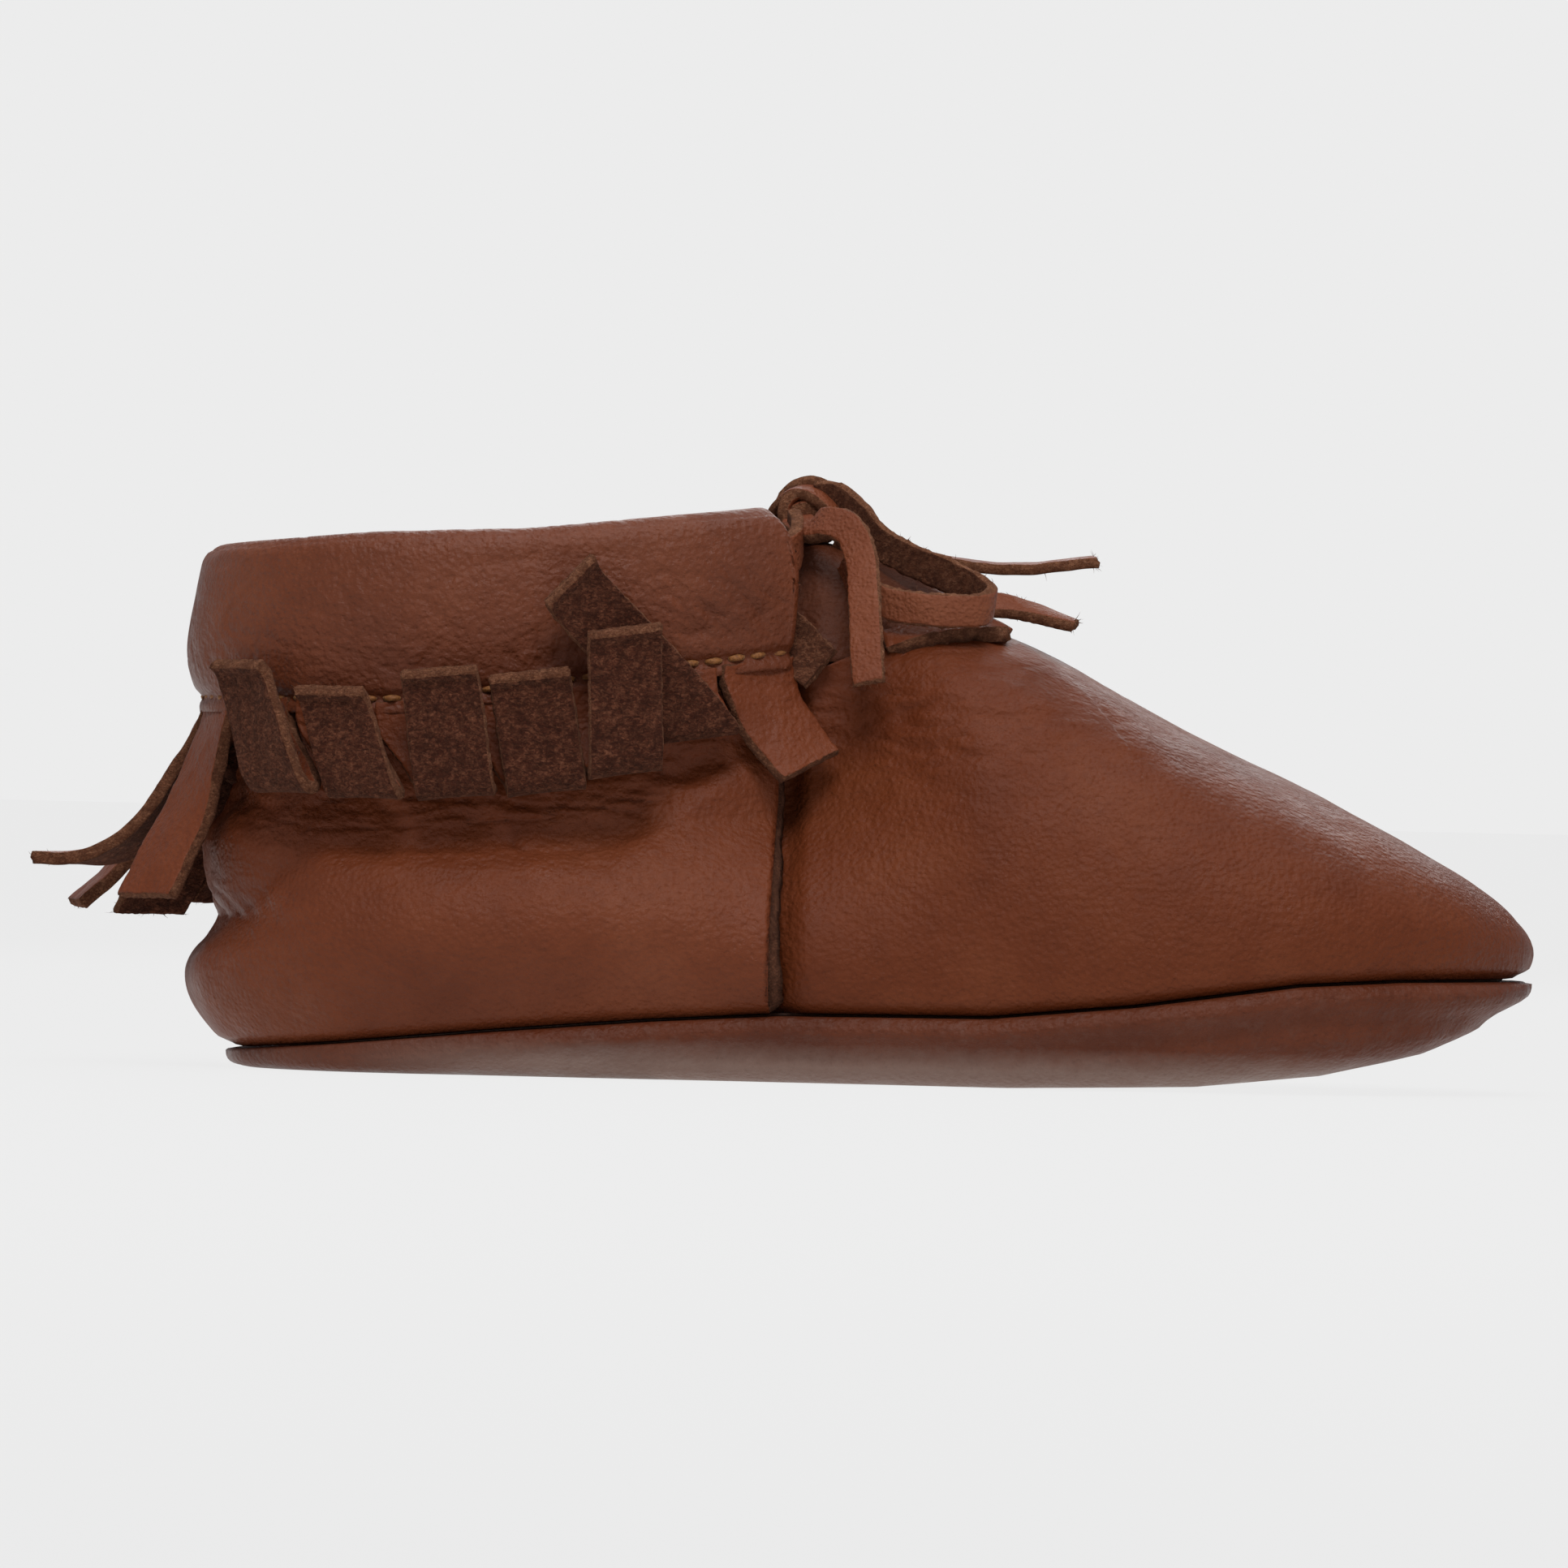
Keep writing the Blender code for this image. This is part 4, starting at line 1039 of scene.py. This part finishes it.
def make_tails(looks):
    near = smooth(NEAR_TAIL, 90)
    run = unit(np.gradient(near, axis=0))
    t = np.linspace(0, 1, 90)
    level = 1 - ease(t, 0.0, 0.55)
    facing = np.column_stack([-0.25 + 0 * t, -0.15 - 0.85 * ease(t, 0.0, 0.25), 1.5 * level - 0.1])
    name = "lace_tail_near"
    lace(name + "_leather", near, np.cross(facing, run), looks, name, [name], 3.2, 0.05, 21.0, 1.05)
    name = "lace_tail_far"
    far = smooth(FAR_TAIL, 80)
    lace(name + "_leather", far, (0.02, 1.0, 0.08), looks, name, [name], 3.4, 0.0, 27.0, 1.05)
    t = np.linspace(0, 1, 60)
    sides = np.column_stack([0 * t, 1.0 + 0 * t, 0.75 - 0.65 * t])
    name = "front_flap_strip"
    lace(name + "_leather", smooth(FLAP_STRIP, 60), sides, looks, name, [name], 3.4, 0.1, 33.0, 1.1)


def make_knot(looks):
    """The knot: the lace goes twice round the crossing of the two loops."""
    middle = np.array(KNOT_MIDDLE)
    for k, (shift, lean, size) in enumerate(((-1.5, 0.45, 0.92), (1.4, -0.4, 0.98))):
        a = np.linspace(0.4, 0.4 + 2 * math.pi * 0.97, 70)
        across = shift + lean * 2.7 * np.sin(a + 0.6)
        ring = middle + np.column_stack([2.5 * size * np.cos(a), across, 2.3 * size * np.sin(a)])
        nodes = ["bow_knot"] if k == 0 else []
        lace(f"bow_knot_wrap_{k + 1}", ring, (0.15, 1.0, lean), looks, "shoe", nodes, 3.4, 0.0, 40.0 + k, 1.2)
    cross = smooth([(-9.4, 2.6, 52.6), (-9.0, 0.4, 55.4), (-7.0, -1.4, 57.0), (-4.6, -2.4, 56.2),
                    (-2.6, -3.0, 53.4), (-2.8, -1.0, 51.2)], 70)
    lace("bow_knot_cross", cross, (0.4, 1.0, 0.2), looks, "shoe", [], 3.2, 0.1, 47.0, 1.1)
    core = smooth([(-8.6, -1.4, 53.9), (-6.0, -1.2, 55.0), (-3.4, -1.4, 53.6)], 30)
    lace("bow_knot_core", core, (0, 1, 0.2), looks, "shoe", [], 3.8, 0.0, 51.0, 2.8)


# ---- tongue and front flap

def make_tongue(looks):
    """The tongue, whose sides hang down to the vamp's edges, and a corner of it that has turned outwards."""
    rows = []
    for x, z in smooth(TONGUE_SPINE, 90):
        half = 7.0 + 5.6 * ease(x, 6.0, -3.0) - 2.4 * ease(-x, 4.5, 8.0)
        wing = 9.5 * ease(x, 7.0, -2.0) - 4.0 * ease(-x, 5.5, 9.5)
        rows.append([(x, half * s, z - 2.0 * s * s - wing * abs(s) ** 2.6) for s in np.linspace(-1, 1, 70)])
    grid = np.array(rows)
    grid[..., 2] += 0.5 * field(grid, (7, 7, 7), 15.0)
    faces = grid_faces(grid.shape[0], grid.shape[1])
    # The tongue, and the under side of its turned corner, take the darker tongue material, which paints in
    # the shade inside the opening.
    piece = new_piece("shade_darkened_tongue_leather", grid, faces, leather(looks, "tongue"))
    finish_piece(thicken(piece, LEATHER), "shoe", ["tongue"])
    corner = smooth([(-9.6, -12.9, 43.8), (-8.0, -13.6, 42.5), (-6.1, -14.3, 40.8), (-4.5, -14.9, 39.6)], 50)
    widths = np.linspace(5.8, 4.6, 50)
    block = strap_block(corner, (0.66, 0.1, 0.75), widths, LEATHER, across=17, cup=-0.5)
    block = shake(block, 2.8, 0.2)
    sides = [looks["nap"], looks["tongue"], looks["edge"]]
    turned = slab("tongue_turned_corner", block, sides, 0.18, 71, 20)
    finish_piece(turned, "shoe", [])


def make_front_flap(looks):
    grid, _, _ = upper_grid(300, np.linspace(0.90, 1.0, 26), -2.6)
    keep = [i for i, rib in enumerate(grid) if 0.8 < rib[-1][0] < 11.2]
    grid = grid[keep[0]:keep[-1] + 1] * np.array([1, 1.04, 1]) + np.array([0, 0, 1.5])
    grid[:, 0] += 0.45 * field(grid[:, 0], 1.2, 62.0)[:, None] * np.array([1, 1, 0.8])
    sides = leather(looks, "grain")
    piece = sheet_from_halves("front_flap_leather", grid, mirrored(grid), sides, LEATHER + 0.3)
    finish_piece(piece, "shoe", ["front_flap"])


# ---- set

def colour_hidden_threads(looks):
    for name in ("sole_seam_thread", "quarter_seam_thread_near", "quarter_seam_thread_far"):
        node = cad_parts[name]
        node.data.materials.clear()
        node.data.materials.append(looks["seam_thread"])


def add_object(name, data):
    made = bpy.data.objects.new(name, data)
    bpy.context.collection.objects.link(made)
    return made


def make_floor():
    mesh = bpy.data.meshes.new("floor")
    corners = [(x * FLOOR_SIZE, y * FLOOR_SIZE, 0) for x, y in ((-1, -1), (1, -1), (1, 1), (-1, 1))]
    mesh.from_pydata(corners, [], [(0, 1, 2, 3)])
    floor = add_object("floor", mesh)
    g = Graph("floor_paper")
    g.shader.inputs["Emission Color"].default_value = (1, 1, 1, 1)
    g.shader.inputs["Emission Strength"].default_value = FLOOR_GLOW
    floor.data.materials.append(g.finish((FLOOR_PAPER,) * 3, 0.95, specular=0.0))


def add_light(name, place, size, power):
    data = bpy.data.lights.new(name, "AREA")
    data.shape = "RECTANGLE"
    data.size, data.size_y = size
    data.energy = power
    lamp = add_object(name, data)
    lamp.location = place
    aim = Vector(LAMP_TARGET) - lamp.location
    lamp.rotation_euler = aim.to_track_quat("-Z", "Y").to_euler()


def make_light():
    """Three soft lamps, and a room that lights the shoe less than the backdrop which the camera sees."""
    world = bpy.data.worlds.new("studio")
    world.use_nodes = True
    tree = world.node_tree
    seen = tree.nodes["Background"]
    seen.inputs["Color"].default_value = (BACKDROP, BACKDROP, BACKDROP, 1)
    dim = tree.nodes.new("ShaderNodeBackground")
    dim.inputs["Color"].default_value = (ROOM, ROOM, ROOM * 1.03, 1)
    rays = tree.nodes.new("ShaderNodeLightPath")
    either = tree.nodes.new("ShaderNodeMixShader")
    tree.links.new(rays.outputs["Is Camera Ray"], either.inputs["Fac"])
    tree.links.new(dim.outputs["Background"], either.inputs[1])
    tree.links.new(seen.outputs["Background"], either.inputs[2])
    tree.links.new(either.outputs["Shader"], tree.nodes["World Output"].inputs["Surface"])
    bpy.context.scene.world = world
    add_light("softbox", (0.02, -0.60, 0.74), (0.40, 0.34), 5.0)
    add_light("overhead", (0.10, 0.05, 0.85), (0.5, 0.5), 2.2)
    add_light("rim", (0.1, 0.8, 0.5), (0.5, 0.4), 2.0)


def make_camera():
    data = bpy.data.cameras.new("camera")
    data.sensor_width = 36.0
    data.lens = 36.0 * VIEW_DISTANCE / VIEW_WIDTH
    data.clip_start = 0.01
    camera = add_object("camera", data)
    x, y, z = VIEW_MIDDLE
    facing = Matrix.Rotation(math.radians(90), 4, "X")
    roll = Matrix.Rotation(VIEW_ROLL, 4, "Z")
    camera.matrix_world = Matrix.Translation((x * MM, (y - VIEW_DISTANCE) * MM, z * MM)) @ facing @ roll
    bpy.context.scene.camera = camera


def main():
    bpy.context.scene.view_settings.view_transform = "Standard"
    make_camera()
    make_light()
    make_floor()
    looks = make_looks()
    for make in (make_sole, make_insole, make_quarter, make_vamp, make_tongue, make_front_flap, make_cuff,
                 make_stitches, make_cuff_lace, make_fringe, make_knot, make_loops, make_tails):
        make(looks)
    colour_hidden_threads(looks)


main()
